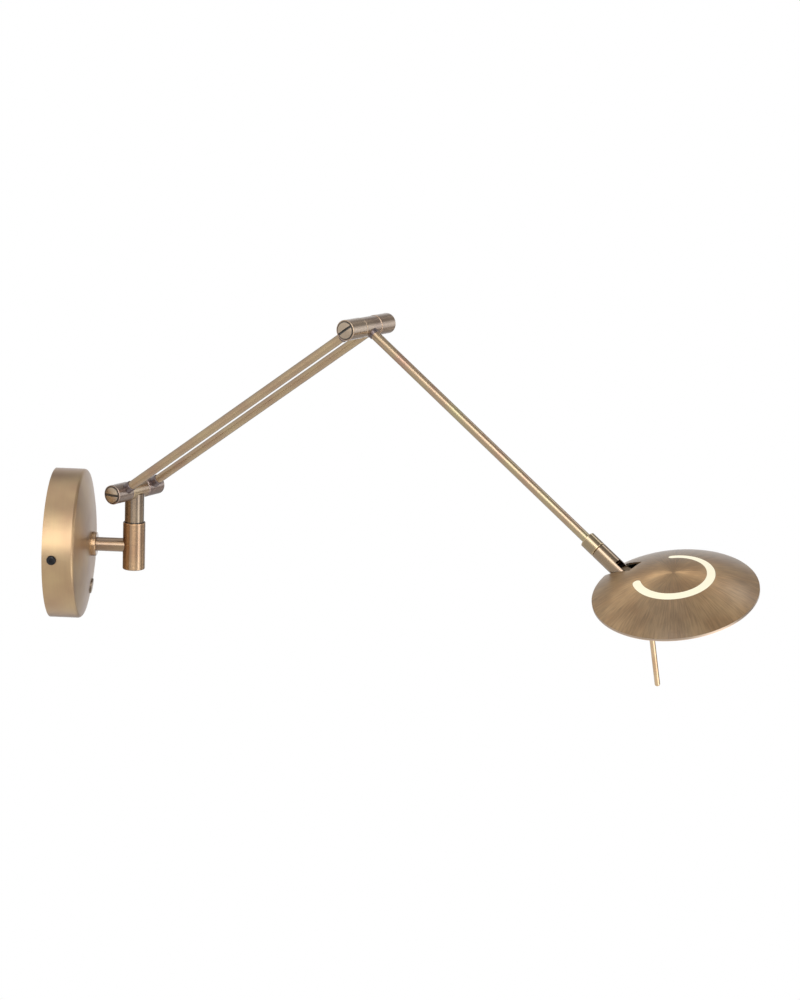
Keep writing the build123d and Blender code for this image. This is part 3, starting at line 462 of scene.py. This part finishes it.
# Painted shade: the post is darkened where it goes into the housing's mouth.
groove_shade = ("Z", housing_half, 0.8, 0.35)
post_brass = brass("post_brass", post_space, round_marks, polished, post_tones, lines=[groove_shade])
fit(post, post_brass, "swivel_post", "antique_brass", post_space, "swivel_post")
# Nylon, moulded: a creamy white that lets a little light in.
nylon = clouded("nylon", "#DEDACF", "#D2CDC0", 5, (0.5, 0.6), {"Subsurface Weight": 0.2})
coat(nylon, "swivel_washer")

# Cross barrels: three turned segments side by side at the shoulder and at the elbow.
# The outer two clamp the middle one through nylon washers; thin chamfers show at the seams.
elbow = Vector(joint["elbow_pitch"]["pos_m"])
elbow_space = standing(elbow, barrel_way)
barrel_half = 29.5
barrel_radius = 7.75
barrel_chamfer = 0.4
barrel_edge = 0.15
seam_level = 10.2
knuckle_half = 9.7
knuckle_chamfer = 0.3
knuckle_edge = 0.12
bolt_bore = 4.05
bolt_well = 6.85
bolt_seat = 27.2
knuckle_outline = [
    (-knuckle_half, bolt_bore),
    (-knuckle_half, knuckle_radius - knuckle_chamfer),
    (knuckle_chamfer - knuckle_half, knuckle_radius),
    (knuckle_half - knuckle_chamfer, knuckle_radius),
    (knuckle_half, knuckle_radius - knuckle_chamfer),
    (knuckle_half, bolt_bore),
]
far_outline = [
    (seam_level, barrel_radius - barrel_chamfer),
    (seam_level + barrel_chamfer, barrel_radius),
    (barrel_half - barrel_chamfer, barrel_radius),
    (barrel_half, barrel_radius - barrel_chamfer),
]
near_outline = [
    (-bolt_seat, bolt_bore),
    (-bolt_seat, bolt_well),
    (-barrel_half, bolt_well),
    (-barrel_half, barrel_radius - barrel_chamfer),
    (barrel_chamfer - barrel_half, barrel_radius),
    (-seam_level - barrel_chamfer, barrel_radius),
    (-seam_level, barrel_radius - barrel_chamfer),
    (-seam_level, bolt_bore),
]
dusky = ("#8F7662", "#A08A72")
# Painted shade: mauve gives the shoulder's outer segments darker brass than the same segments at the
# elbow.
mauve = ("#7C6761", "#8E7A6C")
fawn = ("#A2876C", "#B19A78")
brushed = (0.33, 0.41, 0.85, 0.2, 1.6)
# Painted highlight: the seams and the barrels' ends are brightened, standing for light on their
# chamfers.
seam_highlights = [("Z", -seam_level, 0.6, 1.6), ("Z", seam_level, 0.6, 1.6)]
seam_highlights += [("Z", -barrel_half, 0.5, 1.35), ("Z", barrel_half, 0.5, 1.35)]
for name, space, ends, inside, middle_body, middle_node in (
    ("shoulder", shoulder_space, mauve, fawn, "swivel_post", "lower_knuckle"),
    ("elbow", elbow_space, dusky, dusky, "forearm", "elbow_knuckle"),
):
    metal = brass(f"{name}_brass", space, round_marks, brushed, ends, lines=seam_highlights)
    middle_metal = brass(f"{name}_middle_brass", space, round_marks, brushed, inside, lines=seam_highlights)
    middle = turned(f"{name}_middle", knuckle_outline, space, ring=True)
    soften(middle, knuckle_edge)
    fit(middle, middle_metal, middle_body, "antique_brass", space, middle_node)
    far = turned(f"{name}_far_barrel", far_outline, space)
    soften(far, barrel_edge)
    fit(far, metal, "lower_arm", "antique_brass", space, f"far_{name}_barrel")
    near = turned(f"{name}_near_barrel", near_outline, space, ring=True)
    soften(near, barrel_edge)
    fit(near, metal, "lower_arm", "antique_brass", space, f"near_{name}_barrel")
    coat(nylon, f"{name}_washers")

# Pivot bolts: slotted shoulder bolts whose crowned heads show in the near ends of the barrels.
# Turned brass with a milled slot, screwed into the far segments.
bolt_head = 6.5
bolt_rim = 29.8
bolt_crown = 0.9
bolt_under = 27.25
bolt_radius = 4
thread_radius = 3
thread_start = 10.15
thread_end = 22.15
slot_width = 1.7
slot_depth = 1.8
bolt_tones = ("#A58E74", "#B5A084")
bolt_marks = (0.2, 0.2, 0.9)
faint = 0.03
crown_radius = (bolt_head**2 + bolt_crown**2) / (2 * bolt_crown)
crown_turn = asin(bolt_head / crown_radius)
bolt_outline = [
    (-thread_end, thread_radius),
    (-thread_start, thread_radius),
    (-thread_start, bolt_radius),
    (bolt_under, bolt_radius),
    (bolt_under, bolt_head),
    *arc(bolt_rim + bolt_crown - crown_radius, 0, crown_radius, crown_turn, 0, 6),
]
arm_way = (elbow - shoulder).normalized()
for name, centre, slot_turn in (("shoulder", shoulder, 35), ("elbow", elbow, 0)):
    space = standing(centre, -barrel_way)
    bolt = turned(f"{name}_bolt_head", bolt_outline, space, sides=64)
    bpy.ops.object.select_all(action="DESELECT")
    bpy.ops.mesh.primitive_cube_add(size=mm)
    tool = bpy.context.object
    slot_way = Quaternion(barrel_way, radians(slot_turn)) @ arm_way
    slot_side = barrel_way.cross(slot_way)
    slot_space = Matrix((slot_way, slot_side, barrel_way)).transposed().to_4x4()
    slot_space.translation = centre - barrel_way * (bolt_rim + bolt_crown) * mm
    tool.matrix_world = slot_space @ Matrix.Diagonal((3 * bolt_head, slot_width, 2 * slot_depth, 1))
    carve(bolt, tool)
    # Painted shade: the slot and the ring round each head are darkened.
    slot_and_gap_shade = [("Y", 0, slot_width / 2 + line_margin, 0.1), ("R", bolt_head, 0.55, 0.2)]
    metal = brass(f"{name}_bolt_brass", slot_space, bolt_marks, satin, bolt_tones, faint, slot_and_gap_shade)
    fit(bolt, metal, "lower_arm", "brass_bolt", space, f"{name}_bolt")

# Lower arm: two tubes side by side between the barrels, with a dark sleeve at each root.
# Drawn brass tube, brushed along its length and pressed into blind sockets; turned steel sleeves.
rod_radius = 3.5
rod_bore = 2.5
rod_spacing = 35
rod_start = 4.8
arm_length = (elbow - shoulder).length / mm
long_marks = (0.9, 0.9, 0.012)
drawn = (0.4, 0.48, 0.65, 0.25, 1.6)
rod_tones = ("#A6876A", "#B39C76")
sleeve_start = 6
sleeve_end = 12.8
sleeve_radius = 4.2
sleeve_edge = 0.6
# Gunmetal, a dark plating on steel: a mauve grey with a clear shine.
gunmetal = clouded("gunmetal", "#857978", "#685D5D", 3, (0.26, 0.36), {"Metallic": 1})


def tube(name, radius, bore, start, end, space):
    """A plain tube along the Z of a space."""
    outline = [(start, bore), (start, radius), (end, radius), (end, bore)]
    return turned(name, outline, space, sides=64, ring=True)


def sleeve_outline(end):
    """Outline of a sleeve on a rod's root, from inside the barrel to a rounded end."""
    nose = arc(end - sleeve_edge, sleeve_radius - sleeve_edge, sleeve_edge, pi / 2, 0, 4)
    return [(sleeve_start, rod_radius), (sleeve_start, sleeve_radius), *nose, (end, rod_radius)]


for name, side in (("near", -1), ("far", 1)):
    space = standing(shoulder + barrel_way * side * rod_spacing / 2 * mm, arm_way)
    rod = tube(f"{name}_arm_tube", rod_radius, rod_bore, rod_start, arm_length - rod_start, space)
    metal = brass(f"{name}_arm_brass", space, long_marks, drawn, rod_tones, faint)
    fit(rod, metal, "lower_arm", "antique_brass", space, f"{name}_rod")
    for end, from_shoulder, way in (("shoulder", 0, arm_way), ("elbow", arm_length, -arm_way)):
        root = standing(space @ Vector((0, 0, from_shoulder * mm)), way)
        outline = sleeve_outline(sleeve_end)
        sleeve = turned(f"{name}_{end}_sleeve", outline, root, sides=64, ring=True)
        fit(sleeve, gunmetal, "lower_arm", "black_steel", root)

# Forearm: the single tube from the elbow's middle segment to the head's collar.
# Drawn brass tube like the lower arm, a little thicker, with a shorter sleeve at its root.
hinge = Vector(joint["head_tilt"]["pos_m"])
fore_way = Vector(joint["head_swivel"]["axis"])
fore_space = standing(elbow, fore_way)
fore_length = (hinge - elbow).length / mm
fore_radius = 3.65
fore_bore = 2.5
seam_to_hinge = 20.9
collar_length = 11.5
collar_socket = 6
slip_gap = 0.05
fore_sleeve_end = 9.6
seam = fore_length - seam_to_hinge
collar_start = seam - collar_length
fore_end = collar_start + collar_socket - slip_gap
forearm = tube("forearm_tube", fore_radius, fore_bore, rod_start, fore_end, fore_space)
glossy = (0.32, 0.4, 0.8, 0.2, 1.6)
fore_tones = ("#AF8C74", "#AEA078")
forearm_brass = brass("forearm_brass", fore_space, long_marks, glossy, fore_tones, faint)
fit(forearm, forearm_brass, "forearm", "antique_brass", fore_space, "forearm_rod")
outline = sleeve_outline(fore_sleeve_end)
fore_sleeve = turned("forearm_sleeve", outline, fore_space, sides=64, ring=True)
fit(fore_sleeve, gunmetal, "forearm", "black_steel", fore_space)

# Head collar: the sleeve on the forearm's end that the fork's spigot turns in.
# Turned brass with thin chamfers, kept on the fork by a grub screw in the spigot's groove.
collar_radius = 6.2
collar_chamfer = 0.4
collar_edge = 0.12
spigot_room = 5.1
fork_spigot = 4.05
wire_bore = 2.1
collar_outline = [
    (collar_start + collar_socket, wire_bore),
    (collar_start + collar_socket, fore_radius + slip_gap),
    (collar_start, fore_radius + slip_gap),
    (collar_start, collar_radius - collar_chamfer),
    (collar_start + collar_chamfer, collar_radius),
    (seam - collar_chamfer, collar_radius),
    (seam, collar_radius - collar_chamfer),
    (seam, fork_spigot),
    (seam - spigot_room, fork_spigot),
    (seam - spigot_room, wire_bore),
]
collar = turned("collar_sleeve", collar_outline, fore_space, sides=64, ring=True)
soften(collar, collar_edge)
fine = (0.2, 0.28, 0.9, 0.16, 1.65)
collar_tones = ("#927B5B", "#988563")
# Painted highlight: bands at the collar's two chamfered ends are brightened.
highlight_inset = 0.3
collar_end_highlights = [("Z", collar_start + highlight_inset, 0.6, 1.5), ("Z", seam - highlight_inset, 0.6, 1.6)]
collar_brass = brass("collar_brass", fore_space, round_marks, fine, collar_tones, lines=collar_end_highlights)
fit(collar, collar_brass, "forearm", "antique_brass", fore_space, "head_collar")

# Head fork: turns in the collar and holds the head's tongue in its slot on a cross pin.
# Turned brass with a sawn slot, square at its end.
pin_way = Vector(joint["head_tilt"]["axis"])
hinge_space = standing(hinge, fore_way)
fork_nose = 7.2
fork_nose_edge = 1.2
fork_slot = 5.2
fork_slot_reach = 4.2
fork_edge = 0.15
seam_gap = 0.15
fork_start = seam_gap - seam_to_hinge
spigot_length = 4.8
pin_hole = 2.05
fork_outline = [
    (fork_start - spigot_length, fork_spigot - slip_gap),
    (fork_start, fork_spigot - slip_gap),
    (fork_start, collar_radius - collar_chamfer),
    (fork_start + collar_chamfer, collar_radius),
    *arc(fork_nose - fork_nose_edge, collar_radius - fork_nose_edge, fork_nose_edge, pi / 2, 0, 5),
]
fork = turned("fork_body", fork_outline, hinge_space, sides=64)
bpy.ops.object.select_all(action="DESELECT")
bpy.ops.mesh.primitive_cube_add(size=mm)
slot_tool = bpy.context.object
slot_run = fork_slot_reach + 2 * fork_nose
slot_axes = Matrix((fore_way, pin_way, fore_way.cross(pin_way))).transposed().to_4x4()
slot_axes.translation = hinge + fore_way * (slot_run / 2 - fork_slot_reach) * mm
slot_tool.matrix_world = slot_axes @ Matrix.Diagonal((slot_run, fork_slot, 4 * collar_radius, 1))
carve(fork, slot_tool)
drill(fork, pin_hole, collar_radius, standing(hinge + pin_way * collar_radius / 2 * mm, pin_way))
soften(fork, fork_edge)
fork_tones = ("#846B54", "#917A5D")
fork_brass = brass("fork_brass", hinge_space, round_marks, fine, fork_tones)
fit(fork, fork_brass, "head_swivel", "antique_brass", hinge_space, "head_fork")

# Hinge bracket: the tongue in the fork, with the walls that line the head's notch.
# Machined, with a black finish and a bare tongue, and screwed to the heat spreader; the CAD shape
# is kept.
head_tilt = radians(32.3)
hinge_radius = 50.7
hinge_height = 3.2
tongue_half = 2.6
tongue_start = 34.4
tongue_end = 47.5
head_out = Quaternion(pin_way, -head_tilt) @ -fore_way
head_up = pin_way.cross(head_out)
head_space = Matrix((head_out, head_up.cross(head_out), head_up)).transposed().to_4x4()
head_space.translation = hinge - (head_out * hinge_radius + head_up * hinge_height) * mm
# Black plated steel: a deep gloss black that mirrors dimly; the bare tongue is a soft brown grey.
# Painted shade: the black walls that line the notch also stand in for the shade inside it.
hinge_metal = blank("hinge_metal")
hinge_place = add(hinge_metal, "SeparateXYZ", {"Vector": piece_space(hinge_metal, head_space)})
tongue_middle = (tongue_start + tongue_end) / 2
tongue_length = {0: hinge_place.outputs["X"], 1: tongue_middle, 2: tongue_end - tongue_middle}
tongue_width = {0: hinge_place.outputs["Y"], 1: 0, 2: tongue_half}
on_length = add(hinge_metal, "Math", tongue_length, operation="COMPARE").outputs["Value"]
on_width = add(hinge_metal, "Math", tongue_width, operation="COMPARE").outputs["Value"]
bare = add(hinge_metal, "Math", {0: on_length, 1: on_width}, operation="MULTIPLY").outputs["Value"]
finishes = {"Fac": bare, "Color1": linear("#1B1A1C"), "Color2": linear("#8F7B64")}
hinge_colour = add(hinge_metal, "MixRGB", finishes).outputs["Color"]
surface(hinge_metal, {"Base Color": hinge_colour, "Roughness": 0.28, "Metallic": 1})
coat(hinge_metal, "hinge_bracket")

# Head shell: the shallow saucer with the C-shaped slit on top and the notch for the fork.
# Spun brass brushed out from the middle, cut through for the light, browned and lacquered.
head_radius = 58.7
head_crown = 17
head_sheet = 1.2
slit_radius = 26.2
slit_width = 5.8
slit_gap = radians(100)
slit_low = 4
slit_high = 24
notch_width = 14
notch_start = 34.5
notch_low = -5
notch_high = 25
shell_edge = 0.2
rim_step = 0.4
pole_radius = 0.001
dome_radius = (head_radius**2 + head_crown**2) / (2 * head_crown)
dome_centre = head_crown - dome_radius


def dome(inset):
    """Outline of the dome from the rim plane to its top, moved in by an inset."""
    radius = dome_radius - inset
    edge = asin(sqrt(radius**2 - dome_centre**2) / radius)
    above = edge - rim_step / radius
    rim = arc(dome_centre, 0, radius, edge, above, 1)
    return rim + arc(dome_centre, 0, radius, above, 0, 28)[1:]


def crescent(name, width, low, high):
    """The slit's shape as a solid: a plate spun part of the way round, with round ends."""
    bpy.ops.object.select_all(action="DESELECT")
    bpy.ops.mesh.primitive_plane_add(size=mm, rotation=(pi / 2, 0, 0))
    piece = bpy.context.object
    piece.name = name
    piece.dimensions = (width * mm, (high - low) * mm, 0)
    piece.location = (slit_radius * mm, 0, (high + low) / 2 * mm)
    bpy.ops.object.transform_apply(location=True, rotation=True, scale=True)
    piece.rotation_euler = (0, 0, -slit_gap / 2)
    bpy.ops.object.transform_apply(location=True, rotation=True, scale=True)
    bpy.ops.object.mode_set(mode="EDIT")
    bpy.ops.mesh.select_all(action="SELECT")
    bpy.ops.mesh.spin(steps=120, angle=tau - slit_gap, center=(0, 0, 0), axis=(0, 0, 1))
    bpy.ops.mesh.select_all(action="SELECT")
    bpy.ops.mesh.remove_doubles(threshold=weld_reach * mm)
    bpy.ops.mesh.fill_holes(sides=0)
    bpy.ops.mesh.normals_make_consistent(inside=False)
    bpy.ops.object.mode_set(mode="OBJECT")
    for turn in (slit_gap / 2, -slit_gap / 2):
        bpy.ops.object.select_all(action="DESELECT")
        depth = (high - low) * mm
        bpy.ops.mesh.primitive_cylinder_add(vertices=48, radius=width / 2 * mm, depth=depth)
        tip = bpy.context.object
        end = Vector((slit_radius * cos(turn), slit_radius * sin(turn), (high + low) / 2)) * mm
        tip.matrix_world = Matrix.Translation(end)
        carve(piece, tip, "UNION")
    piece.matrix_world = head_space
    bpy.ops.object.select_all(action="DESELECT")
    piece.select_set(True)
    bpy.context.view_layer.objects.active = piece
    bpy.ops.object.transform_apply(location=True, rotation=True, scale=True)
    return piece


def notch(piece):
    """Cut the notch for the fork into a piece of the head."""
    bpy.ops.object.select_all(action="DESELECT")
    bpy.ops.mesh.primitive_cube_add(size=mm)
    tool = bpy.context.object
    middle = Vector((notch_start + head_radius / 2, 0, (notch_low + notch_high) / 2))
    extent = Matrix.Diagonal((head_radius, notch_width, notch_high - notch_low, 1))
    tool.matrix_world = head_space @ Matrix.Translation(middle * mm) @ extent
    carve(piece, tool)


shell_outline = dome(0)[::-1] + dome(head_sheet)
shell_outline[0] = (head_crown, pole_radius)
shell = turned("saucer_shell", shell_outline, head_space, sides=192)
carve(shell, crescent("slit_tool", slit_width, slit_low, slit_high))
notch(shell)
soften(shell, shell_edge)
# The strokes run outwards, about 1 mm wide near the rim; real ones would be too fine to show.
strokes_per_radian = 45
stroke_length = 10
dome_cloud_size = 20
dull = (0.64, 0.74, 0.75, 0.3, 1.45)
dome_tones = ("#AD8C65", "#BFA077")
dome_marks = 0.24
bright_reach = 8
dark_reach = 48
shell_brass = blank("shell_brass")
dome_place = piece_space(shell_brass, head_space)
plan = add(shell_brass, "VectorMath", {0: dome_place, 1: (1, 1, 0)}, operation="MULTIPLY")
flat = plan.outputs["Vector"]
reach = add(shell_brass, "VectorMath", {0: flat}, operation="LENGTH").outputs["Value"]
spoke = add(shell_brass, "VectorMath", {0: flat}, operation="NORMALIZE")
fan = {0: spoke.outputs["Vector"], "Scale": strokes_per_radian}
rays = add(shell_brass, "VectorMath", fan, operation="SCALE").outputs["Vector"]
along = add(shell_brass, "Math", {0: reach, 1: 1 / stroke_length}, operation="MULTIPLY")
lift = add(shell_brass, "CombineXYZ", {"Z": along.outputs["Value"]}).outputs["Vector"]
strokes = add(shell_brass, "VectorMath", {0: rays, 1: lift}, operation="ADD").outputs["Vector"]
stroked = {"Vector": strokes, "Scale": 1, "Detail": 3}
dome_brush = add(shell_brass, "TexNoise", stroked).outputs["Fac"]
clouding = {"Vector": dome_place, "Scale": 1 / dome_cloud_size, "Detail": 2}
dome_clouds = add(shell_brass, "TexNoise", clouding).outputs["Fac"]
# Painted shade and light: the dome is darker towards the rim and a little lighter near the middle.
dome_shading = {"From Min": bright_reach, "From Max": dark_reach, "To Min": 1.1, "To Max": 0.72}
rim_shade = add(shell_brass, "MapRange", {"Value": reach, **dome_shading}).outputs["Result"]
browned(shell_brass, dome_brush, dome_clouds, dome_tones, dull, dome_marks, 0, rim_shade)
fit(shell, shell_brass, "head", "antique_brass", head_space, "head_shell")

# Light strip: the opal C that fills the slit and glows.
# Moulded acrylic pushed up from inside, a little below the shell's face.
strip_recess = 0.08
strip_width = 5.6
strip_low = 6.3
cap_low = 5
cap_shoulder = 8
cap_radius = 50
strip = crescent("glow_strip", strip_width, strip_low, slit_high)
cap_outline = [(cap_low, cap_radius), (cap_shoulder, cap_radius)]
cap_outline += [point for point in dome(strip_recess) if point[0] > cap_shoulder]
carve(strip, turned("strip_cap", cap_outline, head_space), "INTERSECT")
# Opal acrylic, lit from behind: an even, warm white glow with no bright spots.
glow_cloud_size = 12
opal = blank("opal_acrylic_lit")
opal_place = add(opal, "TexCoord", {}).outputs["Object"]
opal_cloud = add(opal, "TexNoise", {"Vector": opal_place, "Scale": 1 / (glow_cloud_size * mm)})
glows = {"Fac": opal_cloud.outputs["Fac"], "Color1": linear("#FFF6DC"), "Color2": linear("#FFFAE8")}
glow = add(opal, "MixRGB", glows)
surface(
    opal,
    {
        "Base Color": linear("#939074"),
        "Emission Color": glow.outputs["Color"],
        "Emission Strength": 0.68,
        "Roughness": 0.35,
    },
)
fit(strip, opal, "head", "opal_acrylic", head_space, "light_strip")

# Rim ring: closes the shell's edge from below and carries the diffuser on its lip.
# Turned brass with a rounded outer edge, notched with the shell.
rim_height = 1.8
rim_width = 4.3
rim_lip = 3
rim_lip_thickness = 0.8
rim_edge = 0.4
rim_outline = [
    (0, head_radius - rim_width),
    (0, head_radius),
    (-rim_height, head_radius),
    (-rim_height, head_radius - rim_width - rim_lip),
    (rim_lip_thickness - rim_height, head_radius - rim_width - rim_lip),
    (rim_lip_thickness - rim_height, head_radius - rim_width),
]
rim = turned("rim_band", rim_outline, head_space, sides=192, ring=True)
notch(rim)
soften(rim, rim_edge)
# Painted highlight: the rim's tones are paler and its lower edge is brightened.
rim_tones = ("#A8907A", "#B8A088")
rim_highlight = ("Z", -rim_height, 0.5, 1.5)
rim_brass = brass("rim_brass", head_space, round_marks, satin, rim_tones, lines=[rim_highlight])
fit(rim, rim_brass, "head", "antique_brass", head_space, "rim_ring")

# Inside of the head: heat spreader, LED board with its packages, and the diffuser below them.
# Stamped aluminium, white circuit board and opal acrylic; the CAD shapes are kept.

# Mill-finish aluminium: a bright, pale grey metal, faintly clouded.
aluminium = clouded("mill_aluminium", "#D3D6D9", "#BFC3C8", 8, (0.35, 0.5), {"Metallic": 1})
coat(aluminium, "heat_spreader")
# White solder resist on the board: smooth and half matt.
board_white = clouded("white_solder_resist", "#EFEFEA", "#E6E6E0", 6, (0.4, 0.5), {})
coat(board_white, "led_board")
# Phosphor in clear silicone: pale yellow, with a soft gloss.
phosphor = clouded("phosphor_silicone", "#F4DC86", "#EACB63", 1, (0.3, 0.4), {})
coat(phosphor, "leds")
coat(opal, "diffuser")

# Handle pin: the thin rod below the head by which it is steered.
# Drawn brass with a rounded tip, screwed into the hinge bracket.
handle_radius = 26.8
pin_radius = 2
pin_tip = 1.8
pin_end = -88
pin_top = 6.2
pin_thread = 1.5
pin_thread_length = 3
handle_outline = [
    (pin_top + pin_thread_length, pin_thread),
    (pin_top, pin_thread),
    (pin_top, pin_radius),
    *arc(pin_end + pin_tip, pin_radius - pin_tip, pin_tip, pi / 2, pi, 6),
]
handle_space = head_space @ Matrix.Translation((handle_radius * mm, 0, 0))
handle = turned("handle_rod", handle_outline, handle_space, sides=48)
# Painted light: the pin's brass is brighter than the rest, to stand for the light it catches from
# the right.
lit_handle_tones = ("#CCA67A", "#DABD92")
handle_brass = brass("handle_brass", handle_space, long_marks, polished, lit_handle_tones)
fit(handle, handle_brass, "head", "antique_brass", handle_space, "handle_pin")

# Studio: a pale floor, a white backdrop, and softboxes in front, above, to the right and below.
# The backdrop is the world. It is white where the camera or a mirror sees it behind the lamp, and
# gives a dimmer light, more from the left, front and below than from the right, back and above.
floor_size = 4
floor_place = (0.3, -1.1, -0.9)
floor_gleam = 0.4
bpy.ops.object.select_all(action="DESELECT")
bpy.ops.mesh.primitive_plane_add(size=floor_size, location=floor_place)
floor = bpy.context.object
floor.name = "floor"
floor_paint = blank("floor_paint")
floor_ray = add(floor_paint, "LightPath", {})
floor_mirror = {0: floor_ray.outputs["Is Glossy Ray"], 1: floor_ray.outputs["Is Transmission Ray"]}
floor_shown = add(floor_paint, "Math", floor_mirror, operation="MAXIMUM")
gleam = {0: floor_shown.outputs["Value"], 1: floor_gleam}
floor_glow = add(floor_paint, "Math", gleam, operation="MULTIPLY")
pale = {"Base Color": linear("#E9E8E6"), "Roughness": 0.85, "Emission Color": linear("#E9E8E6")}
surface(floor_paint, {**pale, "Emission Strength": floor_glow.outputs["Value"]})
floor.data.materials.append(floor_paint)

world = bpy.data.worlds.new("studio")
world.use_nodes = True
world.node_tree.nodes.clear()
bpy.context.scene.world = world
bright_side = (-0.8, -0.6, -0.3)
look = add(world, "TexCoord", {}).outputs["Generated"]
lean = add(world, "VectorMath", {0: look, 1: bright_side}, operation="DOT_PRODUCT")
room = {"From Min": -0.25, "From Max": 0.3, "To Min": 0.4, "To Max": 0.85}
ambient = add(world, "MapRange", {"Value": lean.outputs["Value"], **room}).outputs["Result"]
ways = add(world, "SeparateXYZ", {"Vector": look})
back = {"Value": ways.outputs["Y"], "From Min": 0.75, "From Max": 0.92}
behind = add(world, "MapRange", back).outputs["Result"]
ray = add(world, "LightPath", {})
bounced = {0: ray.outputs["Is Glossy Ray"], 1: ray.outputs["Is Transmission Ray"]}
mirror = add(world, "Math", bounced, operation="MAXIMUM").outputs["Value"]
shown = add(world, "Math", {0: mirror, 1: behind}, operation="MULTIPLY").outputs["Value"]
in_view = {0: shown, 1: ray.outputs["Is Camera Ray"]}
seen = add(world, "Math", in_view, operation="MAXIMUM").outputs["Value"]
strength = add(world, "Math", {0: seen, 1: ambient}, operation="MAXIMUM").outputs["Value"]
sky = add(world, "Background", {"Color": linear("#FFFFFF"), "Strength": strength})
add(world, "OutputWorld", {"Surface": sky.outputs["Background"]})


def softbox(name, place, target, width, height, radiance, spread):
    """A soft area lamp with a honeycomb, which keeps its light within an angle about the target."""
    data = bpy.data.lights.new(name, "AREA")
    data.shape = "RECTANGLE"
    data.size = width
    data.size_y = height
    data.spread = radians(spread)
    half = radians(spread / 2)
    data.energy = radiance * pi * width * height * (1 - half / tan(half))
    lamp = bpy.data.objects.new(name, data)
    bpy.context.scene.collection.objects.link(lamp)
    lamp.matrix_world = standing(place, Vector(place) - Vector(target))


softbox("canopy_box", (0.1, -1.1, 0.33), (0.03, 0, 0), 0.9, 0.6, 4.1, 70)
softbox("top_box", (0, 0.1, 1.2), (0.02, 0, 0), 0.7, 1.4, 0.9, 80)
softbox("head_box", (0.18, -0.9, 0.8), (0.42, -0.2, 0.06), 0.4, 0.55, 3.8, 120)
softbox("right_strip", (1.08, -0.64, 0.1), (0.06, 0, 0.02), 0.3, 1, 3, 60)
softbox("rim_box", (0.99, 0.18, 0.98), (0.5, -0.25, 0.05), 0.45, 0.45, 2.9, 36)
softbox("low_box", (0.81, -0.4, -0.26), (0.46, -0.2, -0.02), 0.7, 0.55, 2.8, 60)
softbox("elbow_box", (1.14, 0.35, 0.2), (0.25, -0.1, 0.2), 0.4, 0.7, 2.4, 50)

# Camera: the photo's own place and lens, found from the canopy, barrels, rods and head.
# Its turns are in radians, and its focal length is in pixels of the picture.
yaw = 0.0222
pitch = 0.2015
roll = 0.0359
focal_pixels = 2460.6
picture_height = 1000
camera_place = (0.31975, -1.92482, 0.43921)
ahead = Vector((-sin(yaw) * cos(pitch), cos(yaw) * cos(pitch), -sin(pitch)))
level_right = Vector((cos(yaw), sin(yaw), 0))
level_up = level_right.cross(ahead)
right = cos(roll) * level_right + sin(roll) * level_up
up = cos(roll) * level_up - sin(roll) * level_right
camera_data = bpy.data.cameras.new("camera")
camera_data.sensor_width = 36
camera_data.lens = focal_pixels * camera_data.sensor_width / picture_height
camera = bpy.data.objects.new("camera", camera_data)
bpy.context.scene.collection.objects.link(camera)
camera.matrix_world = Matrix((right, up, -ahead)).transposed().to_4x4()
camera.location = camera_place
bpy.context.scene.camera = camera
bpy.context.scene.view_settings.view_transform = "Standard"
